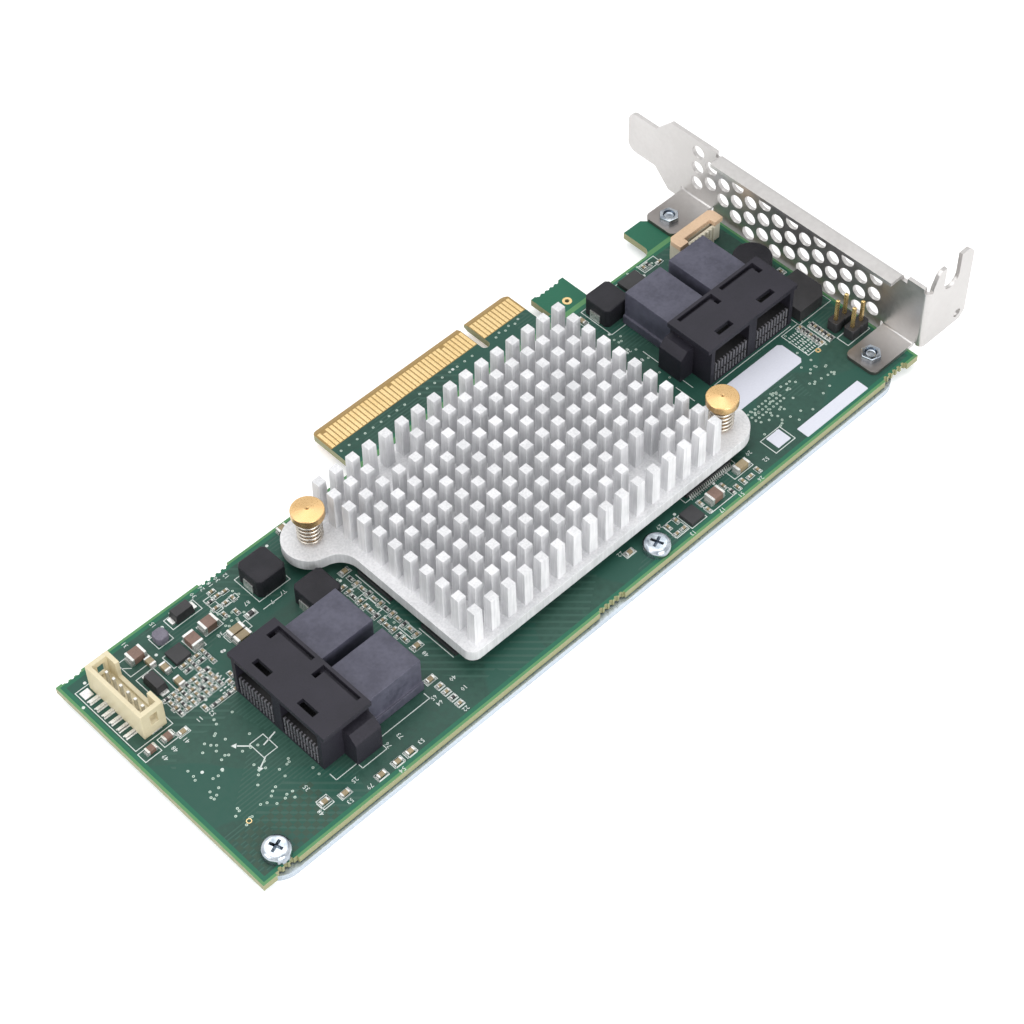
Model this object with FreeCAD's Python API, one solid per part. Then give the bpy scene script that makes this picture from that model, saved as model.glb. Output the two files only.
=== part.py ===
"""Low-profile storage controller card: board, edge contacts, bracket, heat sink and connectors.

Card frame while modelling: X runs along the card from its far end to the bracket, Y runs from the
free long edge to the contact edge, Z is up from the component face. Every piece is moved at export
so that the origin lies on the key notch's centre line, at the contact edge, in the board's middle.
"""
import FreeCAD, Part
import math
import os

Vec = FreeCAD.Vector
Z_UP = Vec(0, 0, 1)

SMALL_SIDES = 12              # sides of small turned parts and drillings
SCAR_SIDES = 6
VENT_SIDES = 8

# ---- circuit board -------------------------------------------------------------------------------
BOARD_LENGTH = 167.65
BOARD_THICKNESS = 1.57
BOARD_DEPTH = 56.2            # free edge to the long edge that carries the contact tab
CARD_DEPTH = 68.9             # free edge to the contact edge
KEY_X = 110.2
KEY_WIDTH = 1.9
KEY_DEPTH = 8.0
TAB_CORNER = 1.3
TAB_BEVEL = 1.0
TAB_BEVEL_DEPTH = 0.45
GUARD_X0 = 125.0              # small guard lug between the tab and the bracket
GUARD_X1 = 133.8
GUARD_TOP = 64.0
GUARD_SLOT_FLOOR = 58.4
GUARD_HOLE = (129.85, 58.7)
GUARD_HOLE_DIAMETER = 1.0
FOOT_X = BOARD_LENGTH - 16.15  # foot of the board under the upper bracket tab
FOOT_TOP = 64.0
FOOT_CREST = 4.8              # length of the foot's highest stretch
TAB_ROOT = 3.0                # how far the contact tab's blank runs back into the board
FOOT_STEP = 1.0
FOOT_FILLET = 2.0

# ---- contact spacing, which sets the tab's length ----------------------------------------------------
CONTACT_PITCH = 1.0
CONTACT_WIDTH = 0.7
CONTACTS_SHORT = 11           # between the key and the bracket
CONTACTS_LONG = 38
CONTACT_KEY_SPAN = 3.0        # centre to centre across the key notch
TAB_MARGIN = 0.45             # last contact's flank to the end of the tab

# ---- breakaway scars along the edges: from, to, edge Y, inward direction, depth ---------------------
SCAR_DIAMETER = 0.9
SCAR_PITCH = 1.25
SCARS = ((1.3, 5.6, BOARD_DEPTH, -1, 0.5), (32.3, 39.3, BOARD_DEPTH, -1, 0.8),
         (GUARD_X0 + 1.2, GUARD_X1 - 1.2, GUARD_TOP, -1, 0.45), (3.0, 7.8, 0.0, 1, 0.9),
         (79.5, 86.0, 0.0, 1, 0.7), (BOARD_LENGTH - 9.6, BOARD_LENGTH - 3.1, 0.0, 1, 0.9))

# ---- back plate and its film ---------------------------------------------------------------------
FILM_THICKNESS = 0.3
PLATE_THICKNESS = 1.5
PLATE_X0 = 1.8
PLATE_X1 = BOARD_LENGTH - 5.15
PLATE_PROUD = 0.5             # beyond the free edge of the board
PLATE_MARGIN = 2.0            # short of the board's long inner edge
PLATE_CORNER = 5.0
FILM_INSET = 1.6
SCREW_SHANK = 2.9
SCREW_HEAD = 5.6
SCREW_HEAD_HEIGHT = 1.9
PLATE_SCREW_Y = 3.1
PLATE_SCREWS_X = (5.9, BOARD_LENGTH - 70.25)
HOLE_CLEARANCE = 0.3          # on diameter, board and film over a shank
THREAD_CLEARANCE = 0.06       # on diameter, thread envelope in its hole

# ---- heat sink and what it cools -------------------------------------------------------------------
SINK_Y = 29.6
PIN_ROWS = 11
PIN_PITCH = 4.07
PIN_SIDE = 2.1
PIN_TIP = 1.9
PIN_HEIGHT = 8.5
PADS_INSET = (3, 4)           # columns, counted in from two opposite corners, that lack a pin
PADS_ROW = 1                  # and their row, counted in from the same corners
SINK_MARGIN_X = 3.2
SINK_MARGIN_Y = 2.4
SINK_BASE = 2.5
SINK_CORNER = 2.2
SINK_CLEARANCE = 1.4          # least room between an ear and the receptacle beside it
SINK_OFFSET = 1.0             # the sink sits this much nearer the left receptacle
EAR_REACH = 2.425             # ear centres beyond the pin field's base, at two opposite corners
EAR_Y = 17.2
EAR_RADIUS = 5.6
EAR_BLEND = 4.5
CHIP_SIDE = 31.0
CHIP_HEIGHT = 1.9
PAD_SIDE = 27.0
PAD_THICKNESS = 0.3
SPRING_SCREW_HEAD = 7.3
SPRING_SCREW_HEAD_HEIGHT = 1.5
SPRING_SCREW_CHAMFER = 0.45
SPRING_SCREW_SHOULDER = 3.0
SPRING_SCREW_THREAD = 2.4
SPRING_LENGTH = 6.6
SPRING_DIAMETER = 5.4
SPRING_WIRE = 0.62
SPRING_TURNS = 6.0
SPRING_RUNS = 8               # straight runs in one turn
SCREW_HEAD_SIDES = 12
MEMORY_WIDTH = 8.8
MEMORY_Y = (32.9, 15.9)
MEMORY_GAP = 5.15             # memory to the controller
FLASH_WIDTH = 18.4
FLASH_Y = 16.3
FLASH_GAP = 6.05              # flash to the controller
CHIP_THICKNESS = 1.1
SCREW_GAP = 1.05              # memory or flash to the nearest sink screw

# ---- bracket ---------------------------------------------------------------------------------------
SHEET = 0.86
SHEET_BEND = 0.4              # inside radius of every fold
BRACKET_GAP = 1.05            # board end to the bracket's inner face
BRACKET_WIDTH = 18.42
BRACKET_BOTTOM = -2.05
TONGUE_WIDTH = 10.19
TONGUE_TIP_Y = 79.5
TONGUE_ROOT_Y = 71.8
SHOULDER_Y = 67.8
FLANGE_Y0 = 7.1
FLANGE_Y1 = 54.0
FLANGE_DEPTH = 4.1
RELIEF = 1.4
TAB_LENGTH = 12.3             # board tabs, from the bracket's outer face
TABS_Y = ((2.3, 9.9), (55.8, 63.8))
TAB_RADIUS = 1.4
TAB_RELIEF = 0.6
SCREW_TAB_Y = 0.3
SCREW_TAB_LENGTH = 12.1
SCREW_TAB_BOTTOM = 0.9
SCREW_TAB_TOP = 20.3
SCREW_TAB_LOBE = 19.8
NOTCH_WIDTH = 4.42
NOTCH_DEPTH = 7.2
NOTCH_PRONG = 3.9             # from the notch to the tab's outer edge
TAB_HOLE_DIAMETER = 2.0
VENT_DIAMETER = 3.1
VENT_PITCH = 4.19
VENT_FIRST_Y = 60.1
VENT_FIRST_Z = 0.7
VENT_COLUMNS = 14
VENT_EDGE = 0.7               # least metal left between a vent and the top fold
VENT_TAB_EDGE = 0.85          # least metal left between a vent and a tab's relief
NUT_ACROSS_FLATS = 4.2
NUT_HEIGHT = 1.15
NUT_HOLE = 2.5
NUT_BARREL = 3.4
NUTS_X = BOARD_LENGTH - 7.25
NUTS_Y = (5.95, 59.85)
NUT_SCREW_HEAD = 4.2
NUT_SCREW_HEAD_HEIGHT = 1.2

# ---- internal multi-lane receptacles ---------------------------------------------------------------
PORT_HOUSING_WIDTH = 25.2
PORT_HOUSING_DEPTH = 10.9
PORT_HOUSING_HEIGHT = 10.3
PORT_ROOF = 1.1
PORT_SIDE_INSET = 0.9
PORT_WALL = 1.0
PORT_DIVIDER = 2.2
PORT_FLOOR = 0.5
PORT_BACK_WALL = 1.7
PORT_CONTACT_TOP = 4.9
PORT_CONTACT_RECESS = 0.25
PORT_SLOT_Z = (2.2, 3.3)
PORT_WINDOW = (4.1, 1.4)
PORT_WINDOW_Y = 2.4
PORT_GROOVE_WIDTH = 0.95
PORT_GROOVE_Y = 9.75
PORT_GROOVE_HOOK = 1.9
PORT_EAR = (3.4, 5.8, 7.4)
PORT_EAR_Y = 4.7
WAFER_WIDTH = 9.9
WAFER_GAP = 2.4
WAFER_DEPTH = 12.7
WAFER_HEIGHT = 8.3
WAFER_LEDGE = 0.5
WAFER_LEDGE_HEIGHT = 2.2
PORT_LEFT = (22.3, 21.7)      # middle of the mouth at the board
PORT_RIGHT = (BOARD_LENGTH - 22.65, 23.2)

# ---- parts on the board ----------------------------------------------------------------------------
CHOKE_SIDE = 6.6
CHOKE_HEIGHT = 4.6
CHOKE_CORNER = 0.7
CHOKE_PLACES = ((41.6, 48.6), (45.6, 37.8), (BOARD_LENGTH - 34.35, 51.0))
CHOKE_CLIP = (0.2, 2.6, 2.2)
ROUND_CHOKE_DIAMETER = 8.1
ROUND_CHOKE_HEIGHT = 3.9
ROUND_CHOKE_PLACE = (BOARD_LENGTH - 5.55, 38.6)
SMALL_CHOKE = (2.7, 2.7, 1.8)
SMALL_CHOKE_PLACE = (19.9, BOARD_DEPTH - 4.9)
BUZZER_SIDE = 8.4
BUZZER_HEIGHT = 3.0
BUZZER_CHAMFER = 1.9
BUZZER_PLACE = (BOARD_LENGTH - 5.4, 26.3)
HEADER_SIZE = (5.0, 15.4, 6.6)
HEADER_PLACE = (6.8, 44.2)
HEADER_WALL = 0.9
HEADER_FLOOR = 2.0
HEADER_WINDOW_INSET = 3.4
HEADER_POSTS = 6
HEADER_PITCH = 2.0
HEADER_POST = 0.5
HEADER_TAIL = 2.2
RIBBON_SIZE = (11.6, 3.0, 4.5)
RIBBON_PLACE = (BOARD_LENGTH - 9.15, 50.9)
RIBBON_CLAMP = (12.4, 3.5, 1.2)
JUMPER_PITCH = 2.54
JUMPER_BASE = 2.5
JUMPER_PIN = 0.62
JUMPER_PIN_HEIGHT = 7.8
JUMPER_PLACES = ((BOARD_LENGTH - 4.55, 16.25), (BOARD_LENGTH - 3.75, 12.7))
CHIP_SIZE = (3.4, 3.4, 0.9)
CHIP_PLACES = ((19.8, BOARD_DEPTH - 9.9), (BOARD_LENGTH - 60.45, 3.5))
FLAT_DRIVER = (5.0, 4.4, 1.0)
FLAT_DRIVER_PLACE = (BOARD_LENGTH - 25.25, 52.4)
DIODE_BODY = (4.2, 2.5, 2.0)
DIODE_PLACES = ((26.1, BOARD_DEPTH - 3.3, 0), (12.9, BOARD_DEPTH - 12.1, 90))
DIODE_DRAFT = 0.25
DIODE_TAB = (0.8, 1.6, 0.4)
CAPACITOR_BIG = (3.2, 2.3, 1.7)
CAPACITOR_LONG = (3.2, 1.6, 1.3)
CAPACITOR_SMALL = (2.0, 1.3, 1.0)
BROWN_BIG_PLACES = ((14.2, BOARD_DEPTH - 5.0, 0), (23.5, BOARD_DEPTH - 9.7, 90),
                    (27.8, BOARD_DEPTH - 8.8, 0), (BOARD_LENGTH - 54.25, 3.6, 0))
BROWN_SMALL_PLACES = ((3.7, 34.0, 0), (7.4, 34.0, 0))
TAN_BIG_PLACES = ((30.4, BOARD_DEPTH - 13.3, 0), (30.4, BOARD_DEPTH - 15.2, 0),
                  (BOARD_LENGTH - 45.35, 5.0, 0))
TAN_SMALL_PLACES = ((16.3, BOARD_DEPTH - 10.6, 90), (16.2, BOARD_DEPTH - 14.6, 90),
                    (15.2, BOARD_DEPTH - 7.7, 90), (51.5, BOARD_DEPTH - 1.5, 0))
LABEL_THICKNESS = 0.1
LABEL_CORNER = 0.7
LABELS = ((BOARD_LENGTH - 35.75, BOARD_LENGTH - 16.65, 14.8, 21.1, LABEL_CORNER),
          (BOARD_LENGTH - 30.75, BOARD_LENGTH - 13.35, 1.2, 4.0, 0.1),
          (BOARD_LENGTH - 36.75, BOARD_LENGTH - 33.25, 3.3, 6.5, 0.1))

# ---- sizes that follow -----------------------------------------------------------------------------
BOARD_BOTTOM = -BOARD_THICKNESS
FILM_BOTTOM = BOARD_BOTTOM - FILM_THICKNESS
PLATE_BOTTOM = FILM_BOTTOM - PLATE_THICKNESS
TAB_X0 = KEY_X - CONTACT_KEY_SPAN / 2 - (CONTACTS_LONG - 1) * CONTACT_PITCH - CONTACT_WIDTH / 2 - TAB_MARGIN
TAB_X1 = KEY_X + CONTACT_KEY_SPAN / 2 + (CONTACTS_SHORT - 1) * CONTACT_PITCH + CONTACT_WIDTH / 2 + TAB_MARGIN
SINK_LEFT_LIMIT = PORT_LEFT[0] + PORT_HOUSING_DEPTH + WAFER_DEPTH + SINK_CLEARANCE
SINK_RIGHT_LIMIT = PORT_RIGHT[0] - PORT_HOUSING_WIDTH / 2 - SINK_CLEARANCE
SINK_X = (SINK_LEFT_LIMIT + SINK_RIGHT_LIMIT) / 2 - SINK_OFFSET
PIN_ROOM = SINK_RIGHT_LIMIT - SINK_LEFT_LIMIT - 2 * (SINK_MARGIN_X + EAR_REACH + EAR_RADIUS)
PIN_COLUMNS = 1 + int(PIN_ROOM / PIN_PITCH)
EAR_X = (PIN_COLUMNS - 1) * PIN_PITCH / 2 + SINK_MARGIN_X + EAR_REACH
MEMORY_LENGTH = EAR_X - SPRING_SCREW_SHOULDER / 2 - SCREW_GAP - CHIP_SIDE / 2 - MEMORY_GAP
MEMORY_X = SINK_X - CHIP_SIDE / 2 - MEMORY_GAP - MEMORY_LENGTH / 2
FLASH_LENGTH = EAR_X - SPRING_SCREW_SHOULDER / 2 - SCREW_GAP - CHIP_SIDE / 2 - FLASH_GAP
FLASH_X = SINK_X + CHIP_SIDE / 2 + FLASH_GAP + FLASH_LENGTH / 2
SINK_BOTTOM = CHIP_HEIGHT + PAD_THICKNESS
SINK_TOP = SINK_BOTTOM + SINK_BASE
SPRING_HEAD_BOTTOM = SINK_TOP + SPRING_LENGTH
SPRING_SCREWS = ((SINK_X - EAR_X, SINK_Y + EAR_Y), (SINK_X + EAR_X, SINK_Y - EAR_Y))
BRACKET_X = BOARD_LENGTH + BRACKET_GAP
BRACKET_OUTER_X = BRACKET_X + SHEET
BRACKET_TOP = BRACKET_BOTTOM + BRACKET_WIDTH
BRACKET_MIDDLE = (BRACKET_BOTTOM + BRACKET_TOP) / 2
FOLD = SHEET + SHEET_BEND
NUT_SCREW_LENGTH = BOARD_THICKNESS + SHEET + NUT_HEIGHT - 0.35


# ---- shared shape helpers --------------------------------------------------------------------------
def outline(corners):
    """Closed wire in the XY plane through (x, y, radius) corners, each rounded by its radius."""
    ends = []
    count = len(corners)
    for index, (x, y, radius) in enumerate(corners):
        here = Vec(x, y, 0)
        before = Vec(corners[index - 1][0], corners[index - 1][1], 0) - here
        after = Vec(corners[(index + 1) % count][0], corners[(index + 1) % count][1], 0) - here
        if radius <= 0:
            ends.append((here, here, None))
            continue
        before.normalize()
        after.normalize()
        half_angle = before.getAngle(after) / 2
        run = radius / math.tan(half_angle)
        middle = before + after
        middle.normalize()
        centre = here + middle * (radius / math.sin(half_angle))
        ends.append((here + before * run, here + after * run, centre - middle * radius))
    edges = []
    for index, (start, stop, top) in enumerate(ends):
        if top is not None:
            edges.append(Part.Arc(start, top, stop).toShape())
        following = ends[(index + 1) % count][0]
        if (following - stop).Length > 1e-6:
            edges.append(Part.LineSegment(stop, following).toShape())
    return Part.Wire(Part.__sortEdges__(edges))


def flat(corners, z0, thickness):
    """Prism that lies flat: the outline in plan, extruded upward."""
    prism = Part.Face(outline(corners)).extrude(Z_UP * thickness)
    return moved(prism, 0, 0, z0)


def across(corners, x0, thickness):
    """Prism that stands across the card: the outline holds (y, z), the thickness runs along X."""
    prism = Part.Face(outline(corners)).extrude(Z_UP * thickness)
    prism.rotate(Vec(0, 0, 0), Vec(1, 1, 1), 120)
    return moved(prism, x0, 0, 0)


def lengthwise(corners, y0, thickness):
    """Prism that stands along the card: the outline holds (x, z), the thickness runs along Y."""
    prism = Part.Face(outline(corners)).extrude(Z_UP * -thickness)
    prism.rotate(Vec(0, 0, 0), Vec(1, 0, 0), 90)
    return moved(prism, 0, y0, 0)


def moved(shape, x, y, z):
    copy = shape.copy()
    copy.translate(Vec(x, y, z))
    return copy


def turned(shape, angle):
    copy = shape.copy()
    copy.rotate(Vec(0, 0, 0), Z_UP, angle)
    return copy


def box(x0, x1, y0, y1, z0, z1):
    return Part.makeBox(x1 - x0, y1 - y0, z1 - z0, Vec(x0, y0, z0))


def centred_box(size, x=0, y=0, z=0):
    return box(x - size[0] / 2, x + size[0] / 2, y - size[1] / 2, y + size[1] / 2, z, z + size[2])


def ring(diameter, z, sides=SMALL_SIDES):
    """Closed polygon round the Z axis that stands for a small circle."""
    points = []
    for step in range(sides + 1):
        angle = 2 * math.pi * (step + 0.5) / sides
        points.append(Vec(diameter / 2 * math.cos(angle), diameter / 2 * math.sin(angle), z))
    return Part.makePolygon(points)


def rod(x, y, z0, z1, diameter, sides=SMALL_SIDES):
    """Upright shank or drilling with few sides."""
    prism = Part.Face(ring(diameter, z0, sides)).extrude(Z_UP * (z1 - z0))
    return moved(prism, x, y, 0)


def tapered(diameter0, z0, diameter1, z1, sides=SMALL_SIDES):
    """Flat-sided taper between two rings."""
    low = [vertex.Point for vertex in ring(diameter0, z0, sides).OrderedVertexes]
    high = [vertex.Point for vertex in ring(diameter1, z1, sides).OrderedVertexes]
    faces = [Part.Face(ring(diameter0, z0, sides)), Part.Face(ring(diameter1, z1, sides))]
    for here in range(sides):
        there = (here + 1) % sides
        corners = [low[here], low[there], high[there], high[here], low[here]]
        faces.append(Part.Face(Part.makePolygon(corners)))
    return Part.Solid(Part.Shell(faces))


def edges_at(shape, test):
    """Edges whose both ends and middle pass the test on a point."""
    chosen = []
    for edge in shape.Edges:
        points = [vertex.Point for vertex in edge.Vertexes] + [edge.CenterOfMass]
        if all(test(point) for point in points):
            chosen.append(edge)
    return chosen


def cut_corner_block(size, corner, top_edge):
    """Block on its base centre with its upright corners cut off and a chamfered top edge."""
    block = centred_box(size)
    upright = [edge for edge in block.Edges if abs(edge.Length - size[2]) < 1e-6
               and abs(edge.tangentAt(edge.FirstParameter).z) > 0.9]
    block = block.makeChamfer(corner, upright)
    rim = edges_at(block, lambda point: abs(point.z - size[2]) < 1e-6)
    return block.makeChamfer(top_edge, rim)


def export(name, *solids):
    shape = solids[0] if len(solids) == 1 else Part.makeCompound(list(solids))
    placed = moved(shape, -KEY_X, -CARD_DEPTH, BOARD_THICKNESS / 2)
    placed.exportStep("parts/" + name + ".step")


# ---- circuit board ---------------------------------------------------------------------------------
def tab_section(x0, x1):
    """One length of the contact tab: the edge is bevelled on both faces for insertion."""
    section_root = BOARD_DEPTH - TAB_ROOT
    profile = ((section_root, BOARD_BOTTOM, 0), (CARD_DEPTH - TAB_BEVEL, BOARD_BOTTOM, 0),
               (CARD_DEPTH, BOARD_BOTTOM + TAB_BEVEL_DEPTH, 0), (CARD_DEPTH, -TAB_BEVEL_DEPTH, 0),
               (CARD_DEPTH - TAB_BEVEL, 0, 0), (section_root, 0, 0))
    section = across(profile, x0, x1 - x0)
    plan = flat([(x0, section_root, 0), (x1, section_root, 0), (x1, CARD_DEPTH, TAB_CORNER),
                 (x0, CARD_DEPTH, TAB_CORNER)], BOARD_BOTTOM, BOARD_THICKNESS)
    return section.common(plan)


def scar(start, stop, edge_y, inward, depth):
    """Low stretch of edge, ending in a row of small drillings, where a breakaway web was."""
    floor_y = edge_y + inward * depth * 0.6
    low = min(floor_y, edge_y - inward)
    high = max(floor_y, edge_y - inward)
    bites = [box(start, stop, low, high, BOARD_BOTTOM - 1, 1)]
    count = int((stop - start) / SCAR_PITCH)
    first = (start + stop - (count - 1) * SCAR_PITCH) / 2
    y = edge_y + inward * (depth - SCAR_DIAMETER * 0.35)
    for index in range(count):
        bites.append(rod(first + index * SCAR_PITCH, y, BOARD_BOTTOM - 1, 1, SCAR_DIAMETER, SCAR_SIDES))
    return bites


def circuit_board():
    round_key = KEY_WIDTH / 2
    body = flat([
        (0, 0, 0), (BOARD_LENGTH, 0, 0), (BOARD_LENGTH, FOOT_TOP - FOOT_STEP, 0),
        (FOOT_X + FOOT_CREST + FOOT_STEP, FOOT_TOP - FOOT_STEP, 0), (FOOT_X + FOOT_CREST, FOOT_TOP, 0),
        (FOOT_X, FOOT_TOP, 0), (FOOT_X, BOARD_DEPTH, FOOT_FILLET),
        (GUARD_X1, BOARD_DEPTH, 0), (GUARD_X1, GUARD_TOP, 0),
        (GUARD_X0, GUARD_TOP, 0), (GUARD_X0, GUARD_SLOT_FLOOR, 0),
        (TAB_X1 - 0.6, GUARD_SLOT_FLOOR, 0), (TAB_X1 - 0.6, BOARD_DEPTH + 0.5, 0),
        (TAB_X0, BOARD_DEPTH + 0.5, 0), (TAB_X0, BOARD_DEPTH, 0),
        (0, BOARD_DEPTH, 0)], BOARD_BOTTOM, BOARD_THICKNESS)
    tab = tab_section(TAB_X0, TAB_X1)
    key_floor = CARD_DEPTH - KEY_DEPTH
    key = flat([(KEY_X - round_key, CARD_DEPTH + 2, 0), (KEY_X - round_key, key_floor, round_key * 0.98),
                (KEY_X + round_key, key_floor, round_key * 0.98), (KEY_X + round_key, CARD_DEPTH + 2, 0)],
               BOARD_BOTTOM - 1, BOARD_THICKNESS + 2)
    board = body.fuse(tab).removeSplitter()
    board = board.cut(key)
    cuts = []
    for place in SCARS:
        cuts += scar(*place)
    for x in PLATE_SCREWS_X:
        cuts.append(rod(x, PLATE_SCREW_Y, BOARD_BOTTOM - 1, 1, SCREW_SHANK + HOLE_CLEARANCE))
    for x, y in SPRING_SCREWS:
        cuts.append(rod(x, y, BOARD_BOTTOM - 1, 1, SPRING_SCREW_SHOULDER + HOLE_CLEARANCE))
    for y in NUTS_Y:
        cuts.append(rod(NUTS_X, y, BOARD_BOTTOM - 1, 1, NUT_BARREL + HOLE_CLEARANCE))
    cuts.append(rod(GUARD_HOLE[0], GUARD_HOLE[1], BOARD_BOTTOM - 1, 1, GUARD_HOLE_DIAMETER))
    return board.cut(cuts)


# ---- back plate ------------------------------------------------------------------------------------
def back_layer(inset, corner, z0, thickness, shank_clearance):
    """Plate or film under the board, with the holes of everything that passes it."""
    y0 = -PLATE_PROUD + inset
    y1 = BOARD_DEPTH - PLATE_MARGIN - inset
    x0 = PLATE_X0 + inset
    x1 = PLATE_X1 - inset
    layer = flat([(x0, y0, corner), (x1, y0, corner), (x1, y1, corner), (x0, y1, corner)], z0, thickness)
    cuts = [rod(NUTS_X, y, z0 - 1, z0 + thickness + 1, NUT_SCREW_HEAD + 2.0) for y in NUTS_Y]
    for x in PLATE_SCREWS_X:
        cuts.append(rod(x, PLATE_SCREW_Y, z0 - 1, z0 + thickness + 1, SCREW_SHANK + shank_clearance))
    return layer, cuts


def insulating_film():
    layer, cuts = back_layer(FILM_INSET, 0, FILM_BOTTOM, FILM_THICKNESS, HOLE_CLEARANCE)
    for x, y in SPRING_SCREWS:
        cuts.append(rod(x, y, FILM_BOTTOM - 1, 1, SPRING_SCREW_SHOULDER + HOLE_CLEARANCE))
    return layer.cut(cuts)


def back_plate():
    layer, cuts = back_layer(0, PLATE_CORNER, PLATE_BOTTOM, PLATE_THICKNESS, THREAD_CLEARANCE)
    for x, y in SPRING_SCREWS:
        cuts.append(rod(x, y, PLATE_BOTTOM - 1, 1, SPRING_SCREW_THREAD + THREAD_CLEARANCE))
    return layer.cut(cuts)


def plate_screw(x):
    """Pan-head screw: bevelled head, shank down to the plate's underside."""
    wall = SCREW_HEAD_HEIGHT * 0.55
    head = rod(0, 0, 0, wall, SCREW_HEAD)
    dome = tapered(SCREW_HEAD, wall, SCREW_HEAD * 0.66, SCREW_HEAD_HEIGHT)
    shank = rod(0, 0, PLATE_BOTTOM, 0, SCREW_SHANK)
    return moved(shank.fuse([head, dome]).removeSplitter(), x, PLATE_SCREW_Y, 0)


# ---- heat sink group -------------------------------------------------------------------------------
def point_at(centre, radius, angle):
    return Vec(centre[0] + radius * math.cos(angle), centre[1] + radius * math.sin(angle), 0)


def arc(centre, radius, start, stop):
    """Arc in plan between two angles, in radians."""
    middle = point_at(centre, radius, (start + stop) / 2)
    return Part.Arc(point_at(centre, radius, start), middle, point_at(centre, radius, stop)).toShape()


def sink_outline():
    """Plan of the base: two square corners rounded, two carrying lugs with a hollow blend."""
    half_x = (PIN_COLUMNS - 1) * PIN_PITCH / 2 + SINK_MARGIN_X
    half_y = EAR_Y + EAR_RADIUS
    blend_x = -half_x - EAR_BLEND
    reach = EAR_RADIUS + EAR_BLEND
    blend_y = EAR_Y - math.sqrt(reach ** 2 - (blend_x + EAR_X) ** 2)
    lean = math.atan2(EAR_Y - blend_y, -EAR_X - blend_x)
    corner = (half_x - SINK_CORNER, half_y - SINK_CORNER)
    side = []
    side.append(Part.LineSegment(Vec(half_x, -blend_y, 0), Vec(half_x, corner[1], 0)).toShape())
    side.append(arc(corner, SINK_CORNER, 0, math.pi / 2))
    side.append(Part.LineSegment(Vec(corner[0], half_y, 0), Vec(-EAR_X, half_y, 0)).toShape())
    side.append(arc((-EAR_X, EAR_Y), EAR_RADIUS, math.pi / 2, math.pi + lean))
    side.append(arc((blend_x, blend_y), EAR_BLEND, lean, 0))
    return Part.Wire(Part.__sortEdges__(side + [turned(edge, 180) for edge in side]))


def heatsink():
    """Cast base with two lugs and a field of square, slightly tapered pins."""
    base = moved(Part.Face(sink_outline()).extrude(Z_UP * SINK_BASE), 0, 0, SINK_BOTTOM)
    holes = []
    for sign in (-1, 1):
        bore = SPRING_SCREW_SHOULDER + HOLE_CLEARANCE
        holes.append(rod(sign * EAR_X, -sign * EAR_Y, 0, SINK_TOP + 1, bore))
    base = base.cut(holes)
    draft = (PIN_SIDE - PIN_TIP) / 2
    pins = []
    for column in range(PIN_COLUMNS):
        for row in range(PIN_ROWS):
            near = row == PADS_ROW and PIN_COLUMNS - 1 - column in PADS_INSET
            far = PIN_ROWS - 1 - row == PADS_ROW and column in PADS_INSET
            if near or far:
                continue
            x = (column - (PIN_COLUMNS - 1) / 2) * PIN_PITCH - PIN_SIDE / 2
            y = (row - (PIN_ROWS - 1) / 2) * PIN_PITCH - PIN_SIDE / 2
            pin = Part.makeWedge(0, 0, 0, draft, draft, PIN_SIDE, PIN_HEIGHT, PIN_SIDE,
                                 PIN_SIDE - draft, PIN_SIDE - draft)
            pin.rotate(Vec(0, 0, 0), Vec(1, 0, 0), 90)
            pins.append(moved(pin, x, y + PIN_SIDE, SINK_TOP))
    return moved(base.fuse(pins), SINK_X, SINK_Y, 0)


def spring_screw(x, y):
    """Brass shoulder screw: bevelled head, shoulder down to the plate, thread in the plate."""
    top = SPRING_HEAD_BOTTOM + SPRING_SCREW_HEAD_HEIGHT
    rim = top - SPRING_SCREW_CHAMFER
    thread = rod(0, 0, PLATE_BOTTOM + 0.2, FILM_BOTTOM, SPRING_SCREW_THREAD)
    shoulder = rod(0, 0, FILM_BOTTOM, SPRING_HEAD_BOTTOM, SPRING_SCREW_SHOULDER)
    head = rod(0, 0, SPRING_HEAD_BOTTOM, rim, SPRING_SCREW_HEAD, SCREW_HEAD_SIDES)
    bevel = tapered(SPRING_SCREW_HEAD, rim, SPRING_SCREW_HEAD - 2 * SPRING_SCREW_CHAMFER, top,
                    SCREW_HEAD_SIDES)
    screw = thread.fuse([shoulder, head, bevel]).removeSplitter()
    return moved(screw, x, y, 0)


def spring(x, y):
    """Compression spring between the lug and the screw head, as a coil of short straight runs."""
    mean_radius = (SPRING_DIAMETER - SPRING_WIRE) / 2
    rise = SPRING_LENGTH - SPRING_WIRE
    runs = int(SPRING_TURNS * SPRING_RUNS)
    path = []
    for step in range(runs + 1):
        angle = 2 * math.pi * step / SPRING_RUNS
        path.append(Vec(mean_radius * math.cos(angle), mean_radius * math.sin(angle), rise * step / runs))
    half = SPRING_WIRE / 2
    start = path[0]
    along = (path[1] - path[0]).normalize()
    side = along.cross(Z_UP).normalize()
    section = Part.makePolygon([start + side * half, start + Z_UP * half, start - side * half,
                                start - Z_UP * half, start + side * half])
    coil = Part.makePolygon(path).makePipeShell([section], True, True, 1)
    return moved(coil, x, y, SINK_TOP + half)


# ---- bracket ---------------------------------------------------------------------------------------
def fold(length):
    """Quarter bend of the sheet: in the local XZ plane from upright to level, length along Y."""
    outer = Part.makeCylinder(FOLD, length, Vec(0, 0, 0), Vec(0, 1, 0), 360)
    inner = Part.makeCylinder(SHEET_BEND, length, Vec(0, 0, 0), Vec(0, 1, 0), 360)
    quarter = box(0, FOLD, 0, length, -FOLD, 0)
    return outer.cut(inner).common(quarter)


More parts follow.
